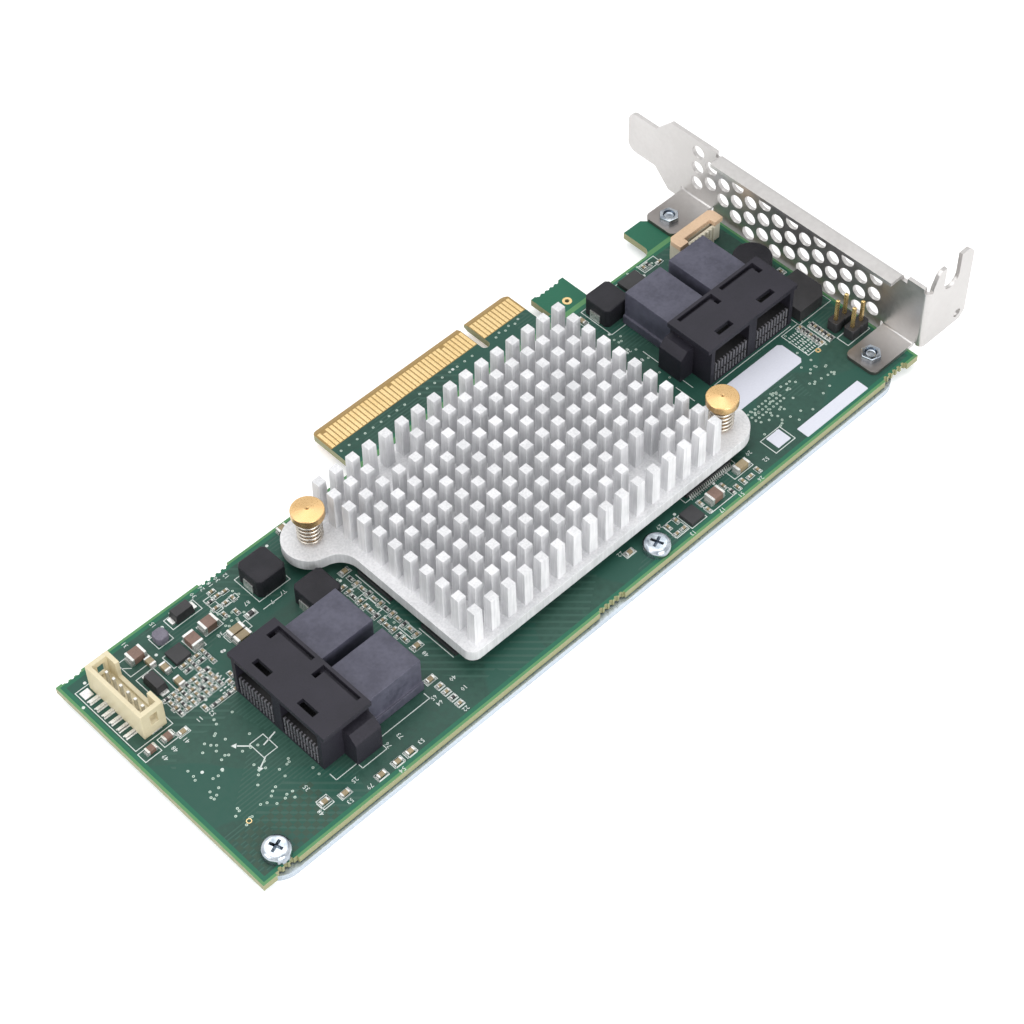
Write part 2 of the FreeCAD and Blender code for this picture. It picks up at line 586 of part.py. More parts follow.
def board_tab(y0, y1):
    """Tab folded inward from the lower edge, lying on the board."""
    width = y1 - y0
    bend_x = BRACKET_X - SHEET_BEND
    bend = moved(fold(width), bend_x, y0, FOLD)
    tip = BRACKET_OUTER_X - TAB_LENGTH
    leaf = flat([(tip, y0, TAB_RADIUS), (bend_x, y0, 0), (bend_x, y1, 0), (tip, y1, TAB_RADIUS)], 0, SHEET)
    return bend.fuse(leaf)


def top_flange():
    """Stiffening flange folded inward along the upper edge."""
    width = FLANGE_Y1 - FLANGE_Y0
    bend_x = BRACKET_X - SHEET_BEND
    bend = fold(width)
    bend = bend.mirror(Vec(0, 0, 0), Z_UP)
    bend = moved(bend, bend_x, FLANGE_Y0, BRACKET_TOP - FOLD)
    tip = BRACKET_OUTER_X - FLANGE_DEPTH
    leaf = flat([(tip, FLANGE_Y0, 0), (bend_x, FLANGE_Y0, 0), (bend_x, FLANGE_Y1, 0),
                 (tip, FLANGE_Y1, 0)], BRACKET_TOP - SHEET, SHEET)
    return bend.fuse(leaf)


def screw_tab():
    """Outward tab with the open notch for the chassis screw, and its fold."""
    root_x = BRACKET_OUTER_X + SHEET_BEND
    tip_x = BRACKET_OUTER_X + SCREW_TAB_LENGTH
    notch_x1 = tip_x - NOTCH_PRONG
    notch_x0 = notch_x1 - NOTCH_WIDTH
    floor = SCREW_TAB_TOP - NOTCH_DEPTH
    leaf = lengthwise([
        (root_x, SCREW_TAB_BOTTOM, 0), (tip_x - 1.3, SCREW_TAB_BOTTOM, 0),
        (tip_x, SCREW_TAB_BOTTOM + 1.6, 0),
        (tip_x, SCREW_TAB_TOP - 1.6, 0), (tip_x - 1.6, SCREW_TAB_TOP, 0), (notch_x1, SCREW_TAB_TOP, 0),
        (notch_x1, floor, NOTCH_WIDTH * 0.49), (notch_x0, floor, NOTCH_WIDTH * 0.49),
        (notch_x0, SCREW_TAB_LOBE, 0), (notch_x0 - 1.9, SCREW_TAB_LOBE, 1.2), (root_x, BRACKET_TOP, 0),
        (root_x, BRACKET_TOP - 1, 0)], SCREW_TAB_Y, SHEET)
    hole = rod(0, 0, -2, 2, TAB_HOLE_DIAMETER)
    hole.rotate(Vec(0, 0, 0), Vec(1, 0, 0), 90)
    hole = moved(hole, tip_x - 2.4, SCREW_TAB_Y, SCREW_TAB_BOTTOM + 2.2)
    height = BRACKET_TOP - 1 - SCREW_TAB_BOTTOM
    bend = fold(height)
    bend.rotate(Vec(0, 0, 0), Vec(1, 0, 0), 90)
    bend.rotate(Vec(0, 0, 0), Z_UP, 180)
    bend = moved(bend, root_x, SCREW_TAB_Y + FOLD, SCREW_TAB_BOTTOM)
    return leaf.cut(hole).fuse(bend)


def vents():
    """Hexagonal field of round vents, left out where too little metal would remain."""
    column_step = VENT_PITCH * math.sqrt(3) / 2
    radius = VENT_DIAMETER / 2
    holes = []
    for column in range(VENT_COLUMNS):
        y = VENT_FIRST_Y - column * column_step
        z = VENT_FIRST_Z + (column % 2) * VENT_PITCH / 2
        folded = FLANGE_Y0 - RELIEF < y < FLANGE_Y1 + RELIEF
        while z < BRACKET_TOP - (FOLD if folded else 0) - radius - VENT_EDGE:
            if all(metal_to_tab(y, z, tab) > radius + VENT_TAB_EDGE for tab in TABS_Y):
                vent = rod(0, 0, 0, SHEET + 2, VENT_DIAMETER, VENT_SIDES)
                vent.rotate(Vec(0, 0, 0), Vec(0, 1, 0), 90)
                holes.append(moved(vent, BRACKET_X - 1, y, z))
            z += VENT_PITCH
    return holes


def metal_to_tab(y, z, tab):
    """Distance from a point of the plate to the opening that a board tab's fold needs."""
    beside = max(tab[0] - TAB_RELIEF - y, y - tab[1] - TAB_RELIEF, 0)
    above = max(z - FOLD, 0)
    return math.hypot(beside, above)


def bracket():
    """One folded sheet: plate with tongue, board tabs, stiffening flange and screw tab."""
    half_tongue = TONGUE_WIDTH / 2
    low = BRACKET_MIDDLE - half_tongue
    high = BRACKET_MIDDLE + half_tongue
    start_y = SCREW_TAB_Y + FOLD
    corners = [(start_y, SCREW_TAB_BOTTOM, 0)]
    for y0, y1 in TABS_Y:
        corners += [(y0 - TAB_RELIEF, SCREW_TAB_BOTTOM if y0 < 10 else BRACKET_BOTTOM, 0),
                    (y0 - TAB_RELIEF, FOLD, 0), (y1 + TAB_RELIEF, FOLD, 0),
                    (y1 + TAB_RELIEF, BRACKET_BOTTOM, 0)]
    corners += [(SHOULDER_Y, BRACKET_BOTTOM, 0), (TONGUE_ROOT_Y, low, 0), (TONGUE_TIP_Y, low, 2.2),
                (TONGUE_TIP_Y, high, 2.2), (TONGUE_ROOT_Y, high, 0), (SHOULDER_Y, BRACKET_TOP, 0),
                (FLANGE_Y1 + RELIEF, BRACKET_TOP, 0), (FLANGE_Y1 + RELIEF, BRACKET_TOP - FOLD, 0),
                (FLANGE_Y0 - RELIEF, BRACKET_TOP - FOLD, 0), (FLANGE_Y0 - RELIEF, BRACKET_TOP, 0),
                (start_y, BRACKET_TOP, 0)]
    plate = across(corners, BRACKET_X, SHEET)
    plate = plate.cut(vents())
    pieces = [board_tab(y0, y1) for y0, y1 in TABS_Y] + [top_flange(), screw_tab()]
    sheet = plate.fuse(pieces).removeSplitter()
    return sheet.cut([rod(NUTS_X, y, -1, SHEET + 1, NUT_BARREL + THREAD_CLEARANCE) for y in NUTS_Y])


def hexagon(across_flats, z0, height):
    radius = across_flats / math.sqrt(3)
    points = []
    for step in range(6):
        angle = math.radians(60 * step)
        points.append((radius * math.cos(angle), radius * math.sin(angle), 0))
    return flat(points, z0, height)


def bracket_nut(y):
    """Clinched hexagon nut on the tab, with its barrel through the tab and the board."""
    body = hexagon(NUT_ACROSS_FLATS, SHEET, NUT_HEIGHT)
    barrel = rod(0, 0, BOARD_BOTTOM, SHEET, NUT_BARREL)
    bore = rod(0, 0, BOARD_BOTTOM - 1, SHEET + NUT_HEIGHT + 1, NUT_HOLE)
    return moved(body.fuse(barrel).cut(bore), NUTS_X, y, 0)


def bracket_screw(y):
    """Low-head screw from under the board into the nut."""
    head = rod(0, 0, BOARD_BOTTOM - NUT_SCREW_HEAD_HEIGHT, BOARD_BOTTOM, NUT_SCREW_HEAD)
    shank = rod(0, 0, BOARD_BOTTOM, BOARD_BOTTOM + NUT_SCREW_LENGTH, NUT_HOLE - THREAD_CLEARANCE)
    slot = box(-NUT_SCREW_HEAD, NUT_SCREW_HEAD, -0.3, 0.3, BOARD_BOTTOM - NUT_SCREW_HEAD_HEIGHT - 1,
               BOARD_BOTTOM - NUT_SCREW_HEAD_HEIGHT + 0.5)
    return moved(head.fuse(shank).cut(slot), NUTS_X, y, 0)


# ---- multi-lane receptacle -------------------------------------------------------------------------
def placed_port(shape, place, angle):
    """From the receptacle's own frame (mouth at Y 0, depth along +Y) to the card."""
    return moved(turned(shape, angle), place[0], place[1], 0)


def port_bays():
    """X ranges of the two bays."""
    inner = PORT_DIVIDER / 2
    outer = PORT_HOUSING_WIDTH / 2 - PORT_SIDE_INSET - PORT_WALL
    return ((-outer, -inner), (inner, outer))


def port_housing(hand):
    """Moulded front housing of a two-port receptacle; hand puts the hooks and the ear."""
    half = PORT_HOUSING_WIDTH / 2
    wall_x = half - PORT_SIDE_INSET
    depth = PORT_HOUSING_DEPTH
    roof_z = PORT_HOUSING_HEIGHT - PORT_ROOF
    housing = box(-wall_x, wall_x, 0, depth, 0, roof_z)
    bays = [box(x0, x1, -1, depth - PORT_BACK_WALL, PORT_FLOOR, roof_z) for x0, x1 in port_bays()]
    housing = housing.cut(bays)
    roof = box(-half, half, 0, depth, roof_z, PORT_HOUSING_HEIGHT)
    ear_x = wall_x + PORT_EAR[0] if hand < 0 else -wall_x
    ear = lengthwise([(ear_x - PORT_EAR[0], 0, 0), (ear_x, 0, 0), (ear_x, PORT_EAR[2], 0),
                      (ear_x - PORT_EAR[0], PORT_EAR[2], 0)], PORT_EAR_Y, PORT_EAR[1])
    outer_edge = ear_x if hand < 0 else ear_x - PORT_EAR[0]
    lean = edges_at(ear, lambda point: abs(point.z - PORT_EAR[2]) < 1e-6
                    and abs(point.x - outer_edge) < 1e-6)
    housing = housing.fuse([roof, ear.makeChamfer(1.6, lean)]).removeSplitter()
    cuts = []
    for x0, x1 in port_bays():
        middle = (x0 + x1) / 2
        window_x = PORT_WINDOW[0] / 2
        window_y = PORT_WINDOW[1] / 2
        cuts.append(box(middle - window_x, middle + window_x, PORT_WINDOW_Y - window_y,
                        PORT_WINDOW_Y + window_y, roof_z - 1, PORT_HOUSING_HEIGHT + 1))
        y0 = PORT_GROOVE_Y - PORT_GROOVE_WIDTH / 2
        y1 = PORT_GROOVE_Y + PORT_GROOVE_WIDTH / 2
        cuts.append(box(x0, x1, y0, y1, roof_z, PORT_HOUSING_HEIGHT + 1))
        hook_x = x1 - PORT_GROOVE_WIDTH * 1.2 if hand > 0 else x0
        cuts.append(box(hook_x, hook_x + PORT_GROOVE_WIDTH * 1.2, y0 - PORT_GROOVE_HOOK, y0, roof_z,
                        PORT_HOUSING_HEIGHT + 1))
    return housing.cut(cuts)


def port_contacts():
    """Two contact carriers, each with a card slot across its face."""
    carriers = []
    for x0, x1 in port_bays():
        y0 = PORT_CONTACT_RECESS
        y1 = PORT_HOUSING_DEPTH - PORT_BACK_WALL
        carrier = box(x0, x1, y0, y1, PORT_FLOOR, PORT_CONTACT_TOP)
        slot = box(x0 + 0.8, x1 - 0.8, -1, y1 - 1.5, PORT_SLOT_Z[0], PORT_SLOT_Z[1])
        carriers.append(carrier.cut(slot))
    return carriers


def port_wafers():
    """Rear wafer stacks, one behind each bay, on a wider foot."""
    wafers = []
    for sign in (-1, 1):
        inner = sign * WAFER_GAP / 2
        outer = sign * (WAFER_GAP / 2 + WAFER_WIDTH)
        x0 = min(inner, outer)
        x1 = max(inner, outer)
        y0 = PORT_HOUSING_DEPTH
        y1 = y0 + WAFER_DEPTH
        block = box(x0, x1, y0, y1, 0, WAFER_HEIGHT)
        foot_x0 = x0 - WAFER_LEDGE if sign < 0 else x0
        foot_x1 = x1 if sign < 0 else x1 + WAFER_LEDGE
        foot = box(foot_x0, foot_x1, y0, y1, 0, WAFER_LEDGE_HEIGHT)
        wafers.append(block.fuse(foot).removeSplitter())
    return wafers


# ---- parts on the board ----------------------------------------------------------------------------
def choke(x, y):
    return moved(cut_corner_block((CHOKE_SIDE, CHOKE_SIDE, CHOKE_HEIGHT), CHOKE_CORNER, 0.25), x, y, 0)


def choke_clips(x, y):
    """Metal end clips on the two faces along the card."""
    clips = []
    for sign in (-1, 1):
        face = x + sign * CHOKE_SIDE / 2
        edge = face + sign * CHOKE_CLIP[0]
        clips.append(box(min(face, edge), max(face, edge), y - CHOKE_CLIP[1] / 2, y + CHOKE_CLIP[1] / 2,
                         0, CHOKE_CLIP[2]))
    return clips


def buzzer():
    """Square surface-mount sounder with one corner cut off for orientation and a sound hole."""
    half = BUZZER_SIDE / 2
    body = flat([(-half, -half, 0), (half - BUZZER_CHAMFER, -half, 0), (half, -half + BUZZER_CHAMFER, 0),
                 (half, half, 0), (-half, half, 0)], 0, BUZZER_HEIGHT)
    port = rod(-half + 2.0, half - 2.0, BUZZER_HEIGHT - 0.8, BUZZER_HEIGHT + 1, 1.4)
    return moved(body.cut(port), BUZZER_PLACE[0], BUZZER_PLACE[1], 0)


def header_post_places():
    first = HEADER_PLACE[1] - (HEADER_POSTS - 1) * HEADER_PITCH / 2
    return [first + index * HEADER_PITCH for index in range(HEADER_POSTS)]


def cable_header():
    """Shrouded wire-to-board header, open at the top, with one wall cut away in the middle."""
    half_x = HEADER_SIZE[0] / 2
    half_y = HEADER_SIZE[1] / 2
    height = HEADER_SIZE[2]
    shroud = centred_box(HEADER_SIZE)
    cavity = box(-half_x + HEADER_WALL, half_x - HEADER_WALL, -half_y + HEADER_WALL, half_y - HEADER_WALL,
                 HEADER_FLOOR, height + 1)
    window_y = half_y - HEADER_WINDOW_INSET
    front_window = box(half_x - HEADER_WALL - 0.1, half_x + 1, -window_y, window_y,
                       HEADER_FLOOR + 0.6, height + 1)
    cuts = [cavity, front_window]
    for sign in (-1, 1):
        end = sign * half_y
        cuts.append(box(-0.6, 1.0, min(end - sign * 1.2, end + sign), max(end - sign * 1.2, end + sign),
                        HEADER_FLOOR + 0.4, height - 1.4))
    shroud = shroud.cut(cuts)
    shroud = moved(shroud, HEADER_PLACE[0], HEADER_PLACE[1], 0)
    drillings = []
    for y in header_post_places():
        x = HEADER_PLACE[0]
        half = HEADER_POST / 2
        drillings.append(box(x - half, x + half, y - half, y + half, 0, HEADER_FLOOR + 1))
        drillings.append(box(x - half_x - 1, x + half, y - half, y + half, -1, HEADER_POST))
    return shroud.cut(drillings)


def header_posts():
    """Square posts whose tails run out under the tall wall to the board."""
    posts = []
    half = HEADER_POST / 2
    x = HEADER_PLACE[0]
    tail_x = x - HEADER_SIZE[0] / 2 - HEADER_TAIL
    for y in header_post_places():
        upright = box(x - half, x + half, y - half, y + half, 0, HEADER_SIZE[2] - 1.4)
        tail = box(tail_x, x - half, y - half, y + half, 0, HEADER_POST)
        posts.append(upright.fuse(tail).removeSplitter())
    return posts


def ribbon_socket():
    """Upright socket for a flat ribbon cable: housing with a slot along the top."""
    housing = centred_box(RIBBON_SIZE)
    slot = centred_box((RIBBON_SIZE[0] - 2.0, 0.6, RIBBON_SIZE[2]), 0, -0.7, 1.5)
    return moved(housing.cut(slot), RIBBON_PLACE[0], RIBBON_PLACE[1], 0)


def ribbon_clamp():
    """Lift-up clamp bar on the socket, relieved over the contacts."""
    half_x = RIBBON_CLAMP[0] / 2
    half_y = RIBBON_CLAMP[1] / 2
    relief = RIBBON_SIZE[0] / 2 - 2.0
    bar = flat([(-half_x, -half_y, 0), (-relief, -half_y, 0), (-relief, -half_y + 1.3, 0),
                (relief, -half_y + 1.3, 0), (relief, -half_y, 0), (half_x, -half_y, 0),
                (half_x, half_y - 0.8, 0), (half_x - 0.8, half_y, 0), (-half_x + 0.8, half_y, 0),
                (-half_x, half_y - 0.8, 0)], RIBBON_SIZE[2], RIBBON_CLAMP[2])
    return moved(bar, RIBBON_PLACE[0], RIBBON_PLACE[1], 0)


def jumper_base(x, y):
    """Insulator of a two-post header, waisted between its posts."""
    length = 2 * JUMPER_PITCH
    half_y = JUMPER_BASE / 2
    waist = 0.35
    base = flat([(-length / 2 + waist, -half_y, 0), (-waist, -half_y, 0), (0, -half_y + waist, 0),
                 (waist, -half_y, 0), (length / 2 - waist, -half_y, 0), (length / 2, -half_y + waist, 0),
                 (length / 2, half_y - waist, 0), (length / 2 - waist, half_y, 0), (waist, half_y, 0),
                 (0, half_y - waist, 0), (-waist, half_y, 0), (-length / 2 + waist, half_y, 0),
                 (-length / 2, half_y - waist, 0), (-length / 2, -half_y + waist, 0)], 0, JUMPER_BASE)
    holes = [centred_box((JUMPER_PIN, JUMPER_PIN, JUMPER_BASE + 2), sign * JUMPER_PITCH / 2, 0, -1)
             for sign in (-1, 1)]
    return moved(base.cut(holes), x, y, 0)


def jumper_pins(x, y):
    pins = []
    for sign in (-1, 1):
        pin = centred_box((JUMPER_PIN, JUMPER_PIN, JUMPER_PIN_HEIGHT))
        rim = edges_at(pin, lambda point: abs(point.z - JUMPER_PIN_HEIGHT) < 1e-6)
        pins.append(moved(pin.makeChamfer(0.15, rim), x + sign * JUMPER_PITCH / 2, y, 0))
    return pins


def diode(x, y, angle):
    """Moulded diode body that draws in towards its top."""
    draft = DIODE_DRAFT
    length, width, height = DIODE_BODY
    body = Part.makeWedge(0, 0, 0, draft, draft, length, height, width, width - draft, length - draft)
    body.rotate(Vec(0, 0, 0), Vec(1, 0, 0), 90)
    return moved(turned(moved(body, -length / 2, width / 2, 0), angle), x, y, 0)


def diode_tabs(x, y, angle):
    tabs = []
    for sign in (-1, 1):
        reach = DIODE_BODY[0] / 2 + DIODE_TAB[0] / 2
        tabs.append(moved(turned(centred_box(DIODE_TAB, sign * reach, 0, 0), angle), x, y, 0))
    return tabs


def capacitor(size, x, y, angle):
    return moved(turned(centred_box(size), angle), x, y, 0)


def label(x0, x1, y0, y1, corner):
    return flat([(x0 + corner, y0, 0), (x1 - corner, y0, 0), (x1, y0 + corner, 0), (x1, y1 - corner, 0),
                 (x1 - corner, y1, 0), (x0 + corner, y1, 0), (x0, y1 - corner, 0), (x0, y0 + corner, 0)],
                0, LABEL_THICKNESS)


# ---- build and export ------------------------------------------------------------------------------
os.makedirs("parts", exist_ok=True)

export("circuit_board", circuit_board())
export("insulating_film", insulating_film())
export("back_plate", back_plate())
export("plate_screws", *[plate_screw(x) for x in PLATE_SCREWS_X])

export("controller_chip", centred_box((CHIP_SIDE, CHIP_SIDE, CHIP_HEIGHT), SINK_X, SINK_Y, 0))
export("thermal_pad", centred_box((PAD_SIDE, PAD_SIDE, PAD_THICKNESS), SINK_X, SINK_Y, CHIP_HEIGHT))
export("memory_chips", *[centred_box((MEMORY_LENGTH, MEMORY_WIDTH, CHIP_THICKNESS), MEMORY_X, y, 0)
                         for y in MEMORY_Y])
export("flash_chip", centred_box((FLASH_LENGTH, FLASH_WIDTH, CHIP_THICKNESS), FLASH_X, FLASH_Y, 0))
export("heatsink", heatsink())
export("heatsink_screws", *[spring_screw(x, y) for x, y in SPRING_SCREWS])
export("heatsink_springs", *[spring(x, y) for x, y in SPRING_SCREWS])

export("bracket", bracket())
export("bracket_nuts", *[bracket_nut(y) for y in NUTS_Y])
export("bracket_screws", *[bracket_screw(y) for y in NUTS_Y])

for side, place, angle, hand in (("left", PORT_LEFT, -90, -1), ("right", PORT_RIGHT, 0, 1)):
    export("port_" + side + "_housing", placed_port(port_housing(hand), place, angle))
    export("port_" + side + "_contacts", *[placed_port(shape, place, angle) for shape in port_contacts()])
    export("port_" + side + "_wafers", *[placed_port(shape, place, angle) for shape in port_wafers()])

export("chokes", *[choke(x, y) for x, y in CHOKE_PLACES])
export("choke_clips", *[clip for x, y in CHOKE_PLACES for clip in choke_clips(x, y)])
round_edge = ROUND_CHOKE_HEIGHT - 0.3
round_top = tapered(ROUND_CHOKE_DIAMETER, round_edge, ROUND_CHOKE_DIAMETER - 0.6, ROUND_CHOKE_HEIGHT, 16)
round_body = rod(0, 0, 0, round_edge, ROUND_CHOKE_DIAMETER, 16).fuse(round_top).removeSplitter()
export("round_choke", moved(round_body, ROUND_CHOKE_PLACE[0], ROUND_CHOKE_PLACE[1], 0))
small_body = cut_corner_block(SMALL_CHOKE, 0.6, 0.2)
export("small_choke", moved(small_body, SMALL_CHOKE_PLACE[0], SMALL_CHOKE_PLACE[1], 0))
export("buzzer", buzzer())
export("cable_header", cable_header())
export("cable_header_posts", *header_posts())
export("ribbon_socket", ribbon_socket())
export("ribbon_clamp", ribbon_clamp())
export("jumper_bases", *[jumper_base(x, y) for x, y in JUMPER_PLACES])
export("jumper_pins", *[pin for x, y in JUMPER_PLACES for pin in jumper_pins(x, y)])
export("regulator_chips", *[centred_box(CHIP_SIZE, x, y, 0) for x, y in CHIP_PLACES])
export("driver_chip", centred_box(FLAT_DRIVER, FLAT_DRIVER_PLACE[0], FLAT_DRIVER_PLACE[1], 0))
export("diodes", *[diode(*place) for place in DIODE_PLACES])
export("diode_tabs", *[tab for place in DIODE_PLACES for tab in diode_tabs(*place)])

brown = [(CAPACITOR_BIG, place) for place in BROWN_BIG_PLACES]
brown += [(CAPACITOR_SMALL, place) for place in BROWN_SMALL_PLACES]
tan = [(CAPACITOR_LONG, place) for place in TAN_BIG_PLACES]
tan += [(CAPACITOR_SMALL, place) for place in TAN_SMALL_PLACES]
export("brown_capacitors", *[capacitor(size, *place) for size, place in brown])
export("tan_capacitors", *[capacitor(size, *place) for size, place in tan])
export("paper_labels", *[label(*sides) for sides in LABELS])
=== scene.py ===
import math
import random

import bmesh
import bpy
from mathutils import Matrix, Vector


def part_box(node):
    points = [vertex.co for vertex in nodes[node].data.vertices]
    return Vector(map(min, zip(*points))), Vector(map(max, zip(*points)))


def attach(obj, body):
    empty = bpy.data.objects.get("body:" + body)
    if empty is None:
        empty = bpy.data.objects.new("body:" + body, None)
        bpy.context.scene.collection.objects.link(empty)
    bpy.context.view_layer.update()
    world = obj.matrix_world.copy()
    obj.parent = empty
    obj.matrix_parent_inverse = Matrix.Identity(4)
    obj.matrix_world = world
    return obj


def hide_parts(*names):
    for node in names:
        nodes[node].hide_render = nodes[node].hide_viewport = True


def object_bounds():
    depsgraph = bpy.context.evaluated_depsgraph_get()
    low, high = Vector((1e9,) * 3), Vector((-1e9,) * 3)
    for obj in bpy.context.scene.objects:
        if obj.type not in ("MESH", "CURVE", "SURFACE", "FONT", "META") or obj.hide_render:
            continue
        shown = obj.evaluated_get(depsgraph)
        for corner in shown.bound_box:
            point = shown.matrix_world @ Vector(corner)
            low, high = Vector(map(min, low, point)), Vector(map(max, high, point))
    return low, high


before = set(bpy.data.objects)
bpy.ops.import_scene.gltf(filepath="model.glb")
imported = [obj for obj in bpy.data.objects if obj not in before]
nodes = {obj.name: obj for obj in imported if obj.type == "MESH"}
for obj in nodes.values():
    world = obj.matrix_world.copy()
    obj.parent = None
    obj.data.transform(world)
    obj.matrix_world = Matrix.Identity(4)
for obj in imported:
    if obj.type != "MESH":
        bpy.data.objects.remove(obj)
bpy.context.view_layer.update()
bpy.ops.object.select_all(action="DESELECT")
scene = bpy.context.scene

# ---- Circuit board ----
# Glass-fibre laminate, 1.57 mm thick, with copper under green solder mask and a narrow brighter
# border where the inner copper stops. It is routed from a panel, so its edges show tan fibre.
MM = 0.001
board_low, board_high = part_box("circuit_board")
FAR_END = board_low[0]
FREE_EDGE = board_low[1]
FACE = board_high[2]
BOARD_LENGTH = board_high[0] - board_low[0]
BOARD_DEPTH = 56.2 * MM
BOARD_THICK = 1.57
BORDER = 1.35
RIM = 0.55
SPARE_START = 123.2                  # past the tab, all of the board beyond its depth is border
WINDOW_START = 70.9                  # the mask stops short of the contacts, over bare laminate
WINDOW_END = 122.5
WINDOW_EDGE = 62.95
ETCHED_LENGTH = 19.0                 # loose copper squares even out the etching at the far corner
ETCHED_DEPTH = 10.5
FLOAT = "NodeSocketFloat"
COLOUR = "NodeSocketColor"
VECTOR = "NodeSocketVector"


def place(along, across, up=0.0):
    """Point in metres from millimetres along the card, across it, and above the component face."""
    return Vector((FAR_END + along * MM, FREE_EDGE + across * MM, FACE + up * MM))


def socket_list(group, inputs, outputs):
    """Named inputs with their values, and named outputs, on a node group."""
    for name, kind, value in inputs:
        socket = group.interface.new_socket(name=name, in_out="INPUT", socket_type=kind)
        socket.default_value = value
    for name, kind in outputs:
        group.interface.new_socket(name=name, in_out="OUTPUT", socket_type=kind)


def add_node(tree, kind, values=None, **settings):
    """Shader node with its settings, and its inputs set to values or linked to sockets."""
    node = tree.nodes.new(kind)
    for name, value in settings.items():
        setattr(node, name, value)
    for name, value in (values or {}).items():
        if isinstance(value, bpy.types.NodeSocket):
            tree.links.new(value, node.inputs[name])
        else:
            node.inputs[name].default_value = value
    return node


def surface_group():
    """Slow mottling, fine grain and uneven gloss, as moulding, plating and handling leave them."""
    group = bpy.data.node_groups.new("surface_variation", "ShaderNodeTree")
    socket_list(group,
                [("Colour", COLOUR, (0.5, 0.5, 0.5, 1)), ("Shade", COLOUR, (0.4, 0.4, 0.4, 1)),
                 ("Mottle Scale", FLOAT, 120.0), ("Grain Scale", FLOAT, 2500.0),
                 ("Smooth", FLOAT, 0.3), ("Rough", FLOAT, 0.5), ("Bump", FLOAT, 0.2),
                 ("Stretch", VECTOR, (1, 1, 1))],
                [("Colour", COLOUR), ("Roughness", FLOAT), ("Normal", VECTOR)])
    given = add_node(group, "NodeGroupInput").outputs
    where = add_node(group, "ShaderNodeTexCoord").outputs["Object"]
    stretched = add_node(group, "ShaderNodeVectorMath", {0: where, 1: given["Stretch"]},
                         operation="MULTIPLY").outputs["Vector"]
    mottle = add_node(group, "ShaderNodeTexNoise",
                      {"Vector": where, "Scale": given["Mottle Scale"], "Detail": 4.0})
    grain = add_node(group, "ShaderNodeTexNoise",
                     {"Vector": stretched, "Scale": given["Grain Scale"], "Detail": 3.0})
    blend = add_node(group, "ShaderNodeMix", {"Factor": 0.45, "A": mottle.outputs["Fac"],
                                              "B": grain.outputs["Fac"]})
    spread = add_node(group, "ShaderNodeMapRange", {"From Min": 0.38, "From Max": 0.62,
                                                    "Value": blend.outputs["Result"]})
    tint = add_node(group, "ShaderNodeMix", {"Factor": spread.outputs["Result"],
                                             "A": given["Shade"], "B": given["Colour"]},
                    data_type="RGBA")
    gloss = add_node(group, "ShaderNodeMapRange",
                     {"From Min": 0.35, "From Max": 0.65, "Value": grain.outputs["Fac"],
                      "To Min": given["Smooth"], "To Max": given["Rough"]})
    bump = add_node(group, "ShaderNodeBump", {"Distance": 0.04 * MM, "Strength": given["Bump"],
                                              "Height": grain.outputs["Fac"]})
    add_node(group, "NodeGroupOutput", {"Colour": tint.outputs["Result"],
                                        "Roughness": gloss.outputs["Result"],
                                        "Normal": bump.outputs["Normal"]})
    return group


SURFACE = surface_group()


def finish(name, colour, shade, mottle=300, grain=3000, smooth=0.3, rough=0.5, bump=0.2,
           metallic=0.0, specular=0.5, stretch=(1, 1, 1)):
    """Material with the shared variation; what never changes sits on the shader's own sockets."""
    material = bpy.data.materials.new(name)
    material.use_nodes = True
    tree = material.node_tree
    varied = add_node(tree, "ShaderNodeGroup",
                      {"Colour": (*colour, 1), "Shade": (*shade, 1), "Mottle Scale": mottle,
                       "Grain Scale": grain, "Smooth": smooth, "Rough": rough, "Bump": bump,
                       "Stretch": stretch}, node_tree=SURFACE, name="variation")
    shader = tree.nodes["Principled BSDF"]
    shader.inputs["Metallic"].default_value = metallic
    shader.inputs["Specular IOR Level"].default_value = specular
    for output, socket in (("Colour", "Base Color"), ("Roughness", "Roughness"),
                           ("Normal", "Normal")):
        tree.links.new(varied.outputs[output], shader.inputs[socket])
    return material


def dress(node, material):
    """The carried-over solid keeps its mesh and takes a finer material."""
    mesh = nodes[node].data
    mesh.materials.clear()
    mesh.materials.append(material)


